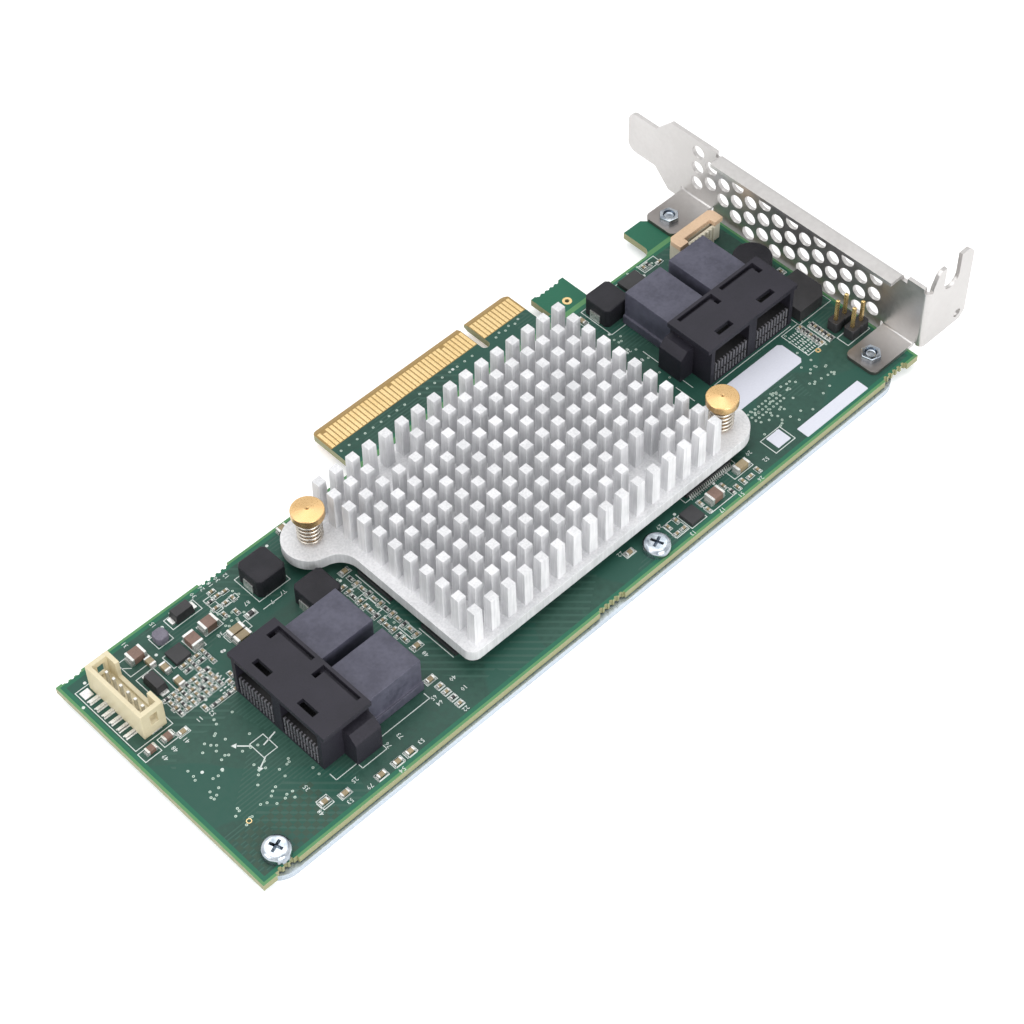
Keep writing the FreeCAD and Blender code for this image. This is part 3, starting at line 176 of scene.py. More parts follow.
def board_pattern_group():
    """Masks over the board: tracks, poured areas, border, rim, window, copper squares, cut edge."""
    group = bpy.data.node_groups.new("board_pattern", "ShaderNodeTree")
    masks = ("Tracks", "Pours", "Squares", "Border", "Rim", "Tab Window", "Cut Edge")
    socket_list(group, [("Far End", FLOAT, 0.0), ("Free Edge", FLOAT, 0.0), ("Length", FLOAT, 0.1),
                        ("Depth", FLOAT, 0.05), ("Border", FLOAT, 0.001)],
                [(mask, FLOAT) for mask in masks])

    def maths(operation, first, second=None):
        values = {0: first} if second is None else {0: first, 1: second}
        return add_node(group, "ShaderNodeMath", values, operation=operation).outputs[0]

    def wave(scale, **settings):
        return add_node(group, "ShaderNodeTexWave",
                        {"Scale": scale, "Distortion": 0.0, "Vector": where},
                        **settings).outputs["Fac"]

    given = add_node(group, "NodeGroupInput").outputs
    where = add_node(group, "ShaderNodeTexCoord").outputs["Object"]
    parts = add_node(group, "ShaderNodeSeparateXYZ", {0: where}).outputs
    along = maths("SUBTRACT", parts["X"], given["Far End"])
    across = maths("SUBTRACT", parts["Y"], given["Free Edge"])
    # distance to the nearest of the four long and short edges
    end_side = maths("MINIMUM", along, maths("SUBTRACT", given["Length"], along))
    edge_side = maths("MINIMUM", across,
                      maths("ABSOLUTE", maths("SUBTRACT", given["Depth"], across)))
    inside = maths("MINIMUM", end_side, edge_side)
    spare = maths("MULTIPLY", maths("GREATER_THAN", across, given["Depth"]),
                  maths("GREATER_THAN", along, SPARE_START * MM))
    border = maths("MAXIMUM", maths("LESS_THAN", inside, given["Border"]), spare)
    window = maths("MULTIPLY", maths("GREATER_THAN", across, WINDOW_EDGE * MM),
                   maths("MULTIPLY", maths("GREATER_THAN", along, WINDOW_START * MM),
                         maths("LESS_THAN", along, WINDOW_END * MM)))
    # tracks: diagonal and straight runs, each in its own patches
    patches = add_node(group, "ShaderNodeTexVoronoi", {"Scale": 85.0, "Vector": where})
    chance = add_node(group, "ShaderNodeSeparateColor",
                      {0: patches.outputs["Color"]}).outputs["Red"]
    run_straight = maths("MULTIPLY",
                         maths("GREATER_THAN", wave(420.0, bands_direction="Y"), 0.74),
                         maths("GREATER_THAN", chance, 0.76))
    run_slanted = maths("MULTIPLY",
                        maths("GREATER_THAN", wave(300.0, bands_direction="DIAGONAL"), 0.76),
                        maths("LESS_THAN", chance, 0.17))
    checks = add_node(group, "ShaderNodeTexChecker", {"Scale": 900.0, "Vector": where})
    corner = maths("MULTIPLY", maths("LESS_THAN", along, ETCHED_LENGTH * MM),
                   maths("LESS_THAN", across, ETCHED_DEPTH * MM))
    clouds = add_node(group, "ShaderNodeTexNoise", {"Scale": 55.0, "Detail": 0.0, "Vector": where})
    poured = add_node(group, "ShaderNodeMapRange", {"From Min": 0.50, "From Max": 0.52,
                                                    "Value": clouds.outputs["Fac"]})
    facing = add_node(group, "ShaderNodeNewGeometry").outputs["True Normal"]
    upright = add_node(group, "ShaderNodeSeparateXYZ", {0: facing}).outputs["Z"]
    add_node(group, "NodeGroupOutput",
             dict(zip(masks, (maths("MAXIMUM", run_straight, run_slanted),
                              poured.outputs["Result"],
                              maths("MULTIPLY", corner, checks.outputs["Fac"]),
                              border, maths("LESS_THAN", inside, RIM * MM), window,
                              maths("LESS_THAN", maths("ABSOLUTE", upright), 0.5)))))
    return group


def board_material():
    """Solder mask over the laminate, with one layer of colour for each mask."""
    material = finish(
        "solder_mask", (0.035, 0.094, 0.071), (0.025, 0.069, 0.053), mottle=60, grain=900,
        rough=0.44, bump=0.12, specular=0.22)
    tree = material.node_tree
    shader = tree.nodes["Principled BSDF"]
    varied = tree.nodes["variation"].outputs
    masks = add_node(tree, "ShaderNodeGroup", node_tree=board_pattern_group())
    for socket, value in (("Far End", FAR_END), ("Free Edge", FREE_EDGE), ("Length", BOARD_LENGTH),
                          ("Depth", BOARD_DEPTH), ("Border", BORDER * MM)):
        masks.inputs[socket].default_value = value
    colour = varied["Colour"]
    for mask, tone in (("Pours", (0.025, 0.088, 0.066, 1)), ("Tracks", (0.042, 0.104, 0.080, 1)),
                       ("Squares", (0.038, 0.078, 0.056, 1)),
                       ("Border", (0.022, 0.135, 0.080, 1)), ("Rim", (0.105, 0.270, 0.115, 1)),
                       ("Tab Window", (0.36, 0.235, 0.085, 1)),
                       ("Cut Edge", (0.30, 0.30, 0.16, 1))):
        colour = add_node(tree, "ShaderNodeMix", {"Factor": masks.outputs[mask], "A": colour,
                                                  "B": tone},
                          data_type="RGBA").outputs["Result"]
    tree.links.new(colour, shader.inputs["Base Color"])
    raised = add_node(tree, "ShaderNodeBump",
                      {"Strength": 0.35, "Distance": 0.03 * MM,
                       "Height": masks.outputs["Tracks"], "Normal": varied["Normal"]})
    tree.links.new(raised.outputs["Normal"], shader.inputs["Normal"])
    return material


dress("circuit_board", board_material())

# ---- Contact fingers ----
# Gold-plated copper pads on both faces of the plug-in tab, 1 mm apart either side of the key notch.
# Three pads stop short, so that the card is sensed only when it is fully home.
KEY = 110.2
KEY_GAP = 1.5
CONTACT_PITCH = 1.0
SHORT_COUNT = 11
LONG_COUNT = 38
CONTACT_START = 63.1
CONTACT_END = 67.55
SENSING_END = 66.9
SENSING_PADS = (16, 30, 47)          # the count starts at the key, and takes the short side first
CONTACT_WIDTH = 0.74
PLATING = 0.03
UP = Vector((0, 0, 1))
DOWN = Vector((0, 0, -1))
FRONT = Vector((0, -1, 0))
BACK = Vector((0, 1, 0))
contact_gold = finish(
    "contact_gold", (0.79, 0.59, 0.30), (0.74, 0.53, 0.25), smooth=0.24, rough=0.32, bump=0.02,
    metallic=0.85)


def only(*pieces):
    """Selects these pieces and nothing else; the last one becomes the active one."""
    bpy.ops.object.select_all(action="DESELECT")
    for piece in pieces:
        piece.select_set(True)
    bpy.context.view_layer.objects.active = pieces[-1]


def bake():
    """Applies the new object's place, turn and size, and returns it."""
    bpy.ops.object.transform_apply(location=True, rotation=True, scale=True)
    return bpy.context.object


def block(low, high):
    """Cube at its size and place, given two opposite corners in metres."""
    bpy.ops.object.select_all(action="DESELECT")
    low = Vector(low)
    high = Vector(high)
    bpy.ops.mesh.primitive_cube_add(size=1.0, location=(low + high) / 2, scale=high - low)
    return bake()


def slab(low, high):
    """Cube near the origin, given two opposite corners in millimetres."""
    return block([value * MM for value in low], [value * MM for value in high])


def edit(piece):
    """Opens a piece for editing, with all of it selected."""
    only(piece)
    bpy.ops.object.mode_set(mode="EDIT")
    bpy.ops.mesh.select_all(action="SELECT")


def close():
    """Ends the editing of a piece."""
    bpy.ops.object.mode_set(mode="OBJECT")


def pick_faces(piece, way, least=0.5, both=False):
    """In edit mode, selects the faces that look one way, or that way and back."""
    shape = bmesh.from_edit_mesh(piece.data)
    chosen = [face for face in shape.faces
              if face.normal.dot(way) > least or (both and face.normal.dot(way) < -least)]
    for face in shape.faces:
        face.select_set(False)
    for face in chosen:
        face.select_set(True)
    bmesh.update_edit_mesh(piece.data)


def push_out(x, y, z):
    """Extrudes what is selected by an offset in millimetres."""
    bpy.ops.mesh.extrude_region_move(TRANSFORM_OT_translate={"value": (x * MM, y * MM, z * MM)})


def ease(piece, way, width, segments=1, profile=0.5, both=False):
    """Bevels the edges of the faces that look one way, by a width in millimetres."""
    edit(piece)
    pick_faces(piece, way, both=both)
    bpy.ops.mesh.bevel(offset=width * MM, segments=segments, profile=profile, affect="EDGES")
    close()
    return piece


def soften(piece, width, segments=2):
    """Rounds every sharp edge with an applied Bevel modifier, by a width in millimetres."""
    only(piece)
    rounding = piece.modifiers.new("rounding", "BEVEL")
    rounding.width = width * MM
    rounding.segments = segments
    rounding.limit_method = "ANGLE"
    rounding.angle_limit = math.radians(35)
    bpy.ops.object.modifier_apply(modifier=rounding.name)
    return piece


def copies(model, spots, turn=0.0):
    """Copies of a model, each with its own mesh, turned about the vertical and set on its spot."""
    made = []
    for spot in spots:
        copy = model.copy()
        copy.data = model.data.copy()
        scene.collection.objects.link(copy)
        copy.data.transform(Matrix.Translation(spot) @ Matrix.Rotation(math.radians(turn), 4, "Z"))
        made.append(copy)
    return made


def discard(model):
    bpy.data.objects.remove(model, do_unlink=True)


def set_out(model, spots, turn=0.0):
    """Copies of a model on spots in millimetres along and across the card; the model goes."""
    made = copies(model, [place(*spot) for spot in spots], turn)
    discard(model)
    return made


def joined(pieces):
    only(*pieces)
    if len(pieces) > 1:
        bpy.ops.object.join()
    return bpy.context.view_layer.objects.active


def settle(piece, name, material, node=None, angle=35):
    """Names a finished piece, gives it its finish and fixes it to the frame."""
    piece.name = name
    piece.data.name = name
    only(piece)
    bake()
    piece.data.materials.clear()
    piece.data.materials.append(material)
    for face in piece.data.polygons:
        face.material_index = 0
    bpy.ops.object.shade_smooth_by_angle(angle=math.radians(angle))
    level = piece.modifiers.new("level_faces", "WEIGHTED_NORMAL")
    level.keep_sharp = True
    bpy.ops.object.modifier_apply(modifier=level.name)
    if node:
        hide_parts(node)
    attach(piece, "root")


def finger(length):
    """One pad lying along the card's depth, its root at the origin."""
    pad = slab((-CONTACT_WIDTH / 2, 0, 0), (CONTACT_WIDTH / 2, length, PLATING))
    edit(pad)
    pick_faces(pad, UP)
    bpy.ops.mesh.inset(thickness=0.06 * MM)
    bpy.ops.transform.translate(value=(0, 0, 0.01 * MM))
    close()
    return pad


pad_places = [KEY + KEY_GAP + index * CONTACT_PITCH for index in range(SHORT_COUNT)]
pad_places += [KEY - KEY_GAP - index * CONTACT_PITCH for index in range(LONG_COUNT)]
full_pad = finger(CONTACT_END - CONTACT_START)
sensing_pad = finger(SENSING_END - CONTACT_START)
pads = []
for index, along in enumerate(pad_places):
    model = sensing_pad if index in SENSING_PADS else full_pad
    pads += copies(model, [place(along, CONTACT_START)])
discard(sensing_pad)
pads += set_out(full_pad, [(along, CONTACT_START, -BOARD_THICK - PLATING) for along in pad_places])
settle(joined(pads), "contact_fingers", contact_gold)

# ---- Printing, vias and test points ----
# White epoxy ink marks each part's outline. Plated vias show as small pale rings with dark middles,
# and the tooling hole by the tab has a bare gold land.
ink_white = finish(
    "silkscreen_ink", (0.72, 0.76, 0.74), (0.60, 0.66, 0.63), mottle=200, smooth=0.5, rough=0.65,
    bump=0.1)
INK = 0.012
LINE = 0.16
SIGN_LINE = 0.26
DOT_RADIUS = 0.32
BARB_RADIUS = 0.62
DIGIT_HEIGHT = 1.3
DASH_LENGTH = 0.56
DASH_WIDTH = 0.24
VIA_RADIUS = 0.27
VIA_RING = 0.15
VIA_HEIGHT = 0.02
LAND_HEIGHT = 0.03


def flat_sheet(length, width):
    """Flat rectangle at the origin, its size in metres."""
    bpy.ops.object.select_all(action="DESELECT")
    bpy.ops.mesh.primitive_plane_add(size=1.0)
    bpy.context.object.scale = (length, width, 1)
    return bake()


def disc(radius, sides):
    """Flat disc, or polygon, at the origin."""
    bpy.ops.object.select_all(action="DESELECT")
    bpy.ops.mesh.primitive_circle_add(vertices=sides, radius=radius * MM, fill_type="NGON")
    return bpy.context.object


def thicken(sheet, tall, ring=0.0):
    """Gives a flat sheet its height; with a ring's width, its inset middle is taken out first."""
    edit(sheet)
    if ring:
        bpy.ops.mesh.inset(thickness=ring * MM)
        bpy.ops.mesh.delete(type="FACE")
        bpy.ops.mesh.select_all(action="SELECT")
    push_out(0, 0, tall)
    bpy.ops.mesh.select_all(action="SELECT")
    bpy.ops.mesh.normals_make_consistent(inside=False)
    close()
    return sheet


def frame_print(u0, u1, v0, v1, width=LINE):
    """Printed rectangle."""
    low = place(u0, v0)
    high = place(u1, v1)
    outline = thicken(flat_sheet(high.x - low.x, high.y - low.y), INK, width)
    outline.data.transform(Matrix.Translation((low + high) / 2))
    return outline


def line_print(u0, v0, u1, v1, width=LINE):
    """Printed stroke between two points."""
    start = place(u0, v0)
    end = place(u1, v1)
    run = end - start
    stroke = thicken(flat_sheet(run.length, width * MM), INK)
    stroke.data.transform(Matrix.Translation((start + end) / 2) @
                          Matrix.Rotation(math.atan2(run.y, run.x), 4, "Z"))
    return stroke


marks = []
for u0, u1, v0, v1 in (
        (1.6, 10.0, 35.7, 52.85),        # cable header
        (1.4, 5.1, 32.7, 35.1), (5.7, 9.0, 32.8, 35.1), (8.9, 11.1, 32.6, 33.7),
        (10.8, 16.2, 48.6, 52.6),        # capacitors and inductor beyond the header
        (18.2, 21.7, 49.8, 52.9), (22.7, 29.6, 51.3, 54.2),
        (11.0, 15.0, 40.2, 47.5), (17.4, 21.6, 44.6, 48.0), (22.2, 25.0, 44.6, 48.4),
        (25.9, 30.1, 46.0, 48.9), (28.1, 33.4, 41.9, 43.9),
        (33.9, 36.0, 43.6, 44.8), (30.6, 32.3, 48.6, 52.6), (32.7, 36.0, 48.6, 49.9),
        (37.7, 45.2, 45.1, 52.3),        # left choke
        (16.5, 19.7, 19.1, 23.1),        # box with two arrows
        (16.9, 19.3, 3.9, 6.2), (20.6, 22.8, 3.2, 4.6), (27.3, 29.7, 1.4, 3.1),
        (31.3, 33.3, 1.4, 3.1), (34.3, 36.2, 1.4, 3.1),
        (47.4, 49.0, 2.9, 4.3), (47.4, 49.0, 4.6, 6.0), (47.4, 49.0, 6.3, 7.7), (47.4, 49.0, 8.0, 9.4),
        (46.9, 48.9, 10.2, 11.5), (50.4, 51.9, 17.1, 18.6), (51.6, 53.6, 19.6, 23.4),
        (52.0, 54.4, 38.7, 40.1), (50.6, 53.2, 33.2, 35.6), (50.4, 52.4, 28.2, 32.0),
        (92.0, 94.2, 5.2, 6.4), (101.6, 105.0, 1.9, 5.8), (105.2, 109.3, 1.5, 5.5),
        (110.3, 117.2, 1.5, 5.3), (119.4, 124.6, 3.9, 6.4),
        (129.6, 135.1, 2.7, 6.9),        # square for a number label
        (129.5, 135.6, 45.9, 54.6), (138.9, 145.6, 49.9, 54.9), (146.3, 151.0, 53.0, 55.3),
        (152.6, 157.5, 15.0, 22.2), (158.2, 160.0, 14.4, 20.3), (160.0, 166.6, 11.2, 14.2),
        (157.4, 166.9, 21.6, 31.1), (161.3, 166.6, 33.0, 35.0)):
    marks.append(frame_print(u0, u1, v0, v1))
for u0, v0, u1, v1 in (               # stem and arrows of the boxed sign
        (16.5, 22.6, 14.8, 24.3), (16.8, 19.1, 14.9, 18.1), (18.2, 21.2, 21.4, 21.9)):
    marks.append(line_print(u0, v0, u1, v1, SIGN_LINE))
for u0, v0, u1, v1 in (
        (22.4, 8.7, 22.4, 7.0), (22.4, 7.0, 27.2, 7.0), (27.2, 7.0, 27.2, 5.6), (27.2, 5.6, 32.8, 5.6),
        (32.8, 5.6, 32.8, 8.1), (32.8, 8.1, 45.2, 8.1), (45.2, 8.1, 45.2, 9.6),
        (22.6, 21.0, 22.6, 22.6), (54.2, 11.5, 54.2, 20.5), (54.2, 28.2, 54.2, 37.5),
        (108.8, 6.6, 122.4, 6.6), (108.8, 6.6, 108.8, 8.0), (122.4, 6.6, 122.4, 8.0),
        (130.7, 25.2, 130.7, 38.6), (134.0, 22.7, 156.0, 22.7), (128.4, 22.6, 128.4, 27.6),
        (10.0, 52.0, 12.2, 50.0), (37.2, 43.4, 42.8, 43.4)):
    marks.append(line_print(u0, v0, u1, v1))
marks += set_out(thicken(disc(DOT_RADIUS, 10), INK), (
    (0.9, 49.4), (4.3, 53.4), (13.4, 53.2), (18.7, 53.3), (21.7, 53.2), (17.1, 49.2), (25.9, 41.5),
    (17.2, 35.6), (47.1, 54.0), (7.1, 24.4), (9.9, 22.4), (51.3, 38.4), (105.4, 6.2), (115.9, 6.1),
    (129.3, 46.4), (145.7, 52.7), (158.6, 33.2), (101.2, 61.5), (26.3, 41.4)))
for spot, turn in (((14.5, 24.6), 45), ((14.6, 17.9), 120)):
    marks += set_out(thicken(disc(BARB_RADIUS, 3), INK), [spot], turn)


def number_print(text, u, v, turn=180):
    """Plain part number in ink, made a mesh before it is set on the board."""
    bpy.ops.object.select_all(action="DESELECT")
    bpy.ops.object.text_add()
    digits = bpy.context.object.data
    digits.body = text
    digits.size = DIGIT_HEIGHT * MM
    digits.extrude = INK / 2 * MM
    digits.resolution_u = 1
    digits.align_x = "CENTER"
    bpy.ops.object.convert(target="MESH")
    number = bpy.context.object
    number.data.transform(Matrix.Translation(place(u, v, INK / 2)) @
                          Matrix.Rotation(math.radians(turn), 4, "Z"))
    return number


for number in (
        ("31", 14.9, 54.9, 90), ("15", 21.3, 54.8, 90), ("17", 24.8, 54.9),
        ("30", 30.6, 54.8, 90), ("26", 32.7, 55.0, 90), ("18", 34.4, 54.6, 90),
        ("30", 36.0, 54.6, 90), ("12", 37.7, 54.0, 90), ("38", 28.0, 45.0), ("87", 36.0, 47.0),
        ("17", 42.2, 44.2), ("7", 39.4, 44.0), ("49", 4.9, 31.2, 90), ("48", 7.2, 31.4, 90),
        ("41", 9.8, 31.4, 90), ("11", 13.8, 33.6), ("52", 16.6, 32.6, 90), ("35", 18.1, 9.4, 90),
        ("48", 16.6, 4.0, 90), ("25", 24.6, 5.2), ("53", 21.2, 2.6), ("79", 25.6, 2.4),
        ("54", 31.8, 1.0), ("53", 38.0, 3.0), ("76", 33.9, 6.0, 90), ("73", 36.6, 6.0, 90),
        ("65", 45.8, 8.1), ("64", 45.8, 6.6), ("22", 48.2, 2.5), ("10", 51.0, 5.9),
        ("40", 51.0, 8.8), ("48", 51.6, 15.6, 90), ("22", 91.6, 7.2), ("29", 101.2, 6.5),
        ("13", 104.6, 1.2), ("17", 112.4, 1.1), ("51", 117.6, 1.1), ("26", 123.0, 1.1),
        ("52", 127.2, 3.6), ("20", 126.0, 6.9), ("35", 161.2, 35.8, 90), ("28", 128.6, 41.0),
        ("8", 129.0, 37.6)):
    marks.append(number_print(*number))
dash = line_print(-DASH_LENGTH / 2, 0, DASH_LENGTH / 2, 0, DASH_WIDTH)
dash.data.transform(Matrix.Translation(-place(0, 0)))
for row in range(6):
    marks += copies(dash, [place(152.9 + 0.62 * column + 0.1 * row, 15.9 + row * 0.95)
                           for column in range(7)], turn=90)
    marks += copies(dash, [place(20.4 + 0.9 * column, 34.4 + row * 0.8) for column in range(3)])
discard(dash)
settle(joined(marks), "silkscreen", ink_white)

via_tin = finish(
    "via_copper", (0.50, 0.60, 0.53), (0.38, 0.49, 0.42), rough=0.45, bump=0.1, metallic=0.2)
spots = [(72.0 + 2.05 * index, 61.4) for index in range(9)]
spots += [(92.3 + 2.0 * index, 61.4) for index in range(8)]
spots += [(113.0 + 1.3 * index, 61.6 + 0.5 * (index % 2)) for index in range(6)]
scattered = random.Random(7)
for u0, u1, v0, v1, count in (
        (4.5, 21.5, 9.0, 31.5, 46), (11.0, 15.0, 22.0, 27.5, 4), (11.0, 17.0, 9.0, 16.0, 8),
        (30.0, 37.0, 44.5, 50.5, 14), (51.0, 53.5, 19.0, 40.0, 10), (131.0, 153.5, 5.0, 14.0, 56),
        (138.0, 150.0, 53.5, 55.5, 6), (157.0, 166.0, 31.8, 35.0, 6), (151.5, 159.5, 14.5, 22.0, 12),
        (128.8, 131.0, 28.0, 45.0, 10)):
    for _ in range(count):
        spots.append((round(scattered.uniform(u0, u1), 1), round(scattered.uniform(v0, v1), 1)))
spots += [(133.0 + 1.0 * column, 11.0 + 1.0 * row) for column in range(9) for row in range(3)]
vias = set_out(thicken(disc(VIA_RADIUS, 8), VIA_HEIGHT, VIA_RING), spots)
settle(joined(vias), "plated_vias", via_tin)
lands = []
for along, across, outer, hole in ((129.85, 58.7, 2.0, 0.95), (6.5, 11.3, 1.05, 0.75),
                                   (155.0, 14.6, 1.2, 0.5)):
    ring = thicken(disc(outer / 2, 24), LAND_HEIGHT, (outer - hole) / 2)
    lands += set_out(ring, [(along, across)])
settle(joined(lands), "bare_lands", contact_gold)

# ---- Back plate, insulating film and plate screws ----
# A zinc-plated sheet under the board, kept off it by black film. Two pan-head screws hold the three
# together, and their heads show on the component face.
zinc = finish(
    "zinc_plate", (0.56, 0.62, 0.68), (0.47, 0.53, 0.59), mottle=90, grain=1800, smooth=0.25,
    rough=0.42, metallic=0.75)
dress("back_plate", zinc)
film_black = finish(
    "insulating_film", (0.020, 0.020, 0.022), (0.012, 0.012, 0.014), mottle=200, grain=2000,
    smooth=0.4, rough=0.55)
dress("insulating_film", film_black)
screw_steel = finish(
    "screw_steel", (0.60, 0.65, 0.70), (0.26, 0.30, 0.35), mottle=420, grain=900, smooth=0.10,
    rough=0.26, bump=0.5, metallic=0.95)
PLATE_SCREWS = ((5.9, 3.45), (97.4, 3.1))
HEAD_RADIUS = 2.75
HEAD_HEIGHT = 1.9
HEAD_CROWN = 0.95
SHANK_RADIUS = 1.42
SHANK_LENGTH = 2.2
RECESS_TURN = 20
RECESS_REACH = 1.55
RECESS_WIDTH = 0.66
RECESS_FLOOR = 0.7


def turned_blank(radius, low, high, sides=32):
    """Round bar end standing on the origin's axis between two heights."""
    bpy.ops.object.select_all(action="DESELECT")
    bpy.ops.mesh.primitive_cylinder_add(vertices=sides, radius=radius * MM, depth=(high - low) * MM,
                                        location=(0, 0, (high + low) / 2 * MM))
    return bake()


def cut_away(piece, cutter):
    """Takes a cutter's shape out of a piece."""
    only(piece)
    cut = piece.modifiers.new("cut", "BOOLEAN")
    cut.operation = "DIFFERENCE"
    cut.solver = "EXACT"
    cut.use_self = True
    cut.object = cutter
    bpy.ops.object.modifier_apply(modifier=cut.name)
    discard(cutter)


def driver_blade(reach, width, low, high, turn):
    """Tapered blade of a cross driver, which cuts one arm of the recess."""
    blade = slab((-reach, -width / 2, low), (reach, width / 2, high))
    edit(blade)
    pick_faces(blade, DOWN)
    bpy.ops.transform.resize(value=(0.45, 0.7, 1))
    close()
    blade.data.transform(Matrix.Rotation(math.radians(turn), 4, "Z"))
    return blade


pan_head = ease(turned_blank(HEAD_RADIUS, 0, HEAD_HEIGHT), UP, HEAD_CROWN, 5)
edit(pan_head)
pick_faces(pan_head, DOWN)
bpy.ops.mesh.inset(thickness=(HEAD_RADIUS - SHANK_RADIUS) * MM)
push_out(0, 0, -SHANK_LENGTH)
close()
for turn in (RECESS_TURN, RECESS_TURN + 90):
    cut_away(pan_head, driver_blade(RECESS_REACH, RECESS_WIDTH, RECESS_FLOOR,
                                    HEAD_HEIGHT + 0.4, turn))
heads = set_out(pan_head, PLATE_SCREWS)
settle(joined(heads), "pan_head_screws", screw_steel, "plate_screws", 30)

# ---- Heat sink ----
# One bright aluminium casting: a plate on the controller with two ears and a field of square pins,
# short of four pins at its two pusher pads. Its edges are softened, and draw marks run up the pins.
sink_aluminium = finish(
    "sink_aluminium", (0.80, 0.80, 0.815), (0.60, 0.605, 0.62), mottle=160, grain=1500, smooth=0.40,
    rough=0.60, bump=0.35, metallic=0.10, stretch=(1.6, 1.6, 0.10))


def softened(node, width, segments=2):
    """Copy of a carried-over solid, its loose triangles merged back into faces, with rounded edges."""
    only(nodes[node])
    bpy.ops.object.duplicate()
    copy = bpy.context.object
    copy.data.materials.clear()
    edit(copy)
    bpy.ops.mesh.remove_doubles(threshold=0.001 * MM)
    bpy.ops.mesh.dissolve_limited(angle_limit=math.radians(1.0))
    close()
    if width:
        soften(copy, width, segments)
    return copy


def refine(node, width, name, material, angle=35, segments=2):
    """Replaces a carried-over solid by its softened copy."""
    settle(softened(node, width, segments), name, material, node, angle)


refine("heatsink", 0.16, "pin_fin_heatsink", sink_aluminium, 40)

# ---- Sink screws and springs ----
# Shouldered brass screws through the ears press the sink down through wire springs. The turned heads
# have a fine chamfer and a centre dimple.
brass = finish(
    "turned_brass", (0.73, 0.49, 0.24), (0.65, 0.42, 0.19), smooth=0.26, rough=0.36, bump=0.05,
    metallic=0.85)
EARS = ((52.0, 46.8), (124.3, 12.4))
EAR_TOP = 4.7
BRASS_TOP = 12.8
BRASS_HEAD = 1.75
BRASS_RADIUS = 3.2
BRASS_CHAMFER = 0.32
SHOULDER_RADIUS = 1.5
SHOULDER_LENGTH = 9.2
DIMPLE_RADIUS = 0.26
DIMPLE_DEPTH = 0.2
flat_radius = BRASS_RADIUS - BRASS_CHAMFER
brass_head = ease(turned_blank(BRASS_RADIUS, BRASS_TOP - BRASS_HEAD, BRASS_TOP, 48), UP, BRASS_CHAMFER,
                  3, 0.6, both=True)
edit(brass_head)
pick_faces(brass_head, DOWN, 0.9)
bpy.ops.mesh.inset(thickness=(flat_radius - SHOULDER_RADIUS) * MM)
push_out(0, 0, -SHOULDER_LENGTH)
pick_faces(brass_head, UP, 0.9)
bpy.ops.mesh.inset(thickness=(flat_radius - DIMPLE_RADIUS) * MM)
push_out(0, 0, -DIMPLE_DEPTH)
bpy.ops.transform.resize(value=(0.3, 0.3, 1))
close()
heads = set_out(brass_head, EARS)
settle(joined(heads), "shouldered_screws", brass, "heatsink_screws", 30)

spring_steel = finish(
    "spring_steel", (0.62, 0.58, 0.52), (0.45, 0.41, 0.36), grain=4000, smooth=0.22, rough=0.36,
    metallic=0.9)
SPRING_RADIUS = 2.2
SPRING_WIRE = 0.3
SPRING_LOW = EAR_TOP + SPRING_WIRE
SPRING_RISE = 6.6 - 2 * SPRING_WIRE
SPRING_TURNS = 6
bpy.ops.object.select_all(action="DESELECT")
bpy.ops.mesh.primitive_circle_add(vertices=8, radius=SPRING_WIRE * MM, fill_type="NGON",
                                  location=(SPRING_RADIUS * MM, 0, SPRING_LOW * MM),
                                  rotation=(math.radians(90), 0, 0))
coil = bake()
winding = coil.modifiers.new("winding", "SCREW")
winding.axis = "Z"
winding.screw_offset = SPRING_RISE / SPRING_TURNS * MM
winding.iterations = SPRING_TURNS
winding.steps = 20
winding.render_steps = 20
bpy.ops.object.modifier_apply(modifier=winding.name)
edit(coil)
bpy.ops.mesh.remove_doubles(threshold=0.001 * MM)
bpy.ops.mesh.fill_holes(sides=0)
bpy.ops.mesh.select_all(action="SELECT")
bpy.ops.mesh.normals_make_consistent(inside=False)
close()
coils = set_out(coil, EARS)
settle(joined(coils), "wire_springs", spring_steel, "heatsink_springs", 50)

# ---- Chips under the sink ----
# Moulded packages on the board: the controller under its pad, two memories and the flash, whose fine
# tinned leads show along the sink's front edge.
chip_black = finish(
    "chip_epoxy", (0.030, 0.030, 0.033), (0.020, 0.020, 0.022), smooth=0.45, rough=0.6, bump=0.3)
for node in ("controller_chip", "memory_chips", "flash_chip"):
    dress(node, chip_black)
pad_grey = finish(
    "pad_silicone", (0.45, 0.45, 0.43), (0.38, 0.38, 0.36), mottle=200, grain=2000, smooth=0.6,
    rough=0.75, bump=0.3)
dress("thermal_pad", pad_grey)
tin = finish(
    "tinned", (0.74, 0.74, 0.72), (0.58, 0.58, 0.56), mottle=500, grain=4000, smooth=0.25,
    rough=0.42, metallic=0.75)
FLASH_LOW, FLASH_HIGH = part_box("flash_chip")
LEAD_WIDTH = 0.22
LEAD_REACH = 1.0
LEAD_RISE = 0.5
LEAD_SHEET = 0.12
LEAD_PITCH = 0.5

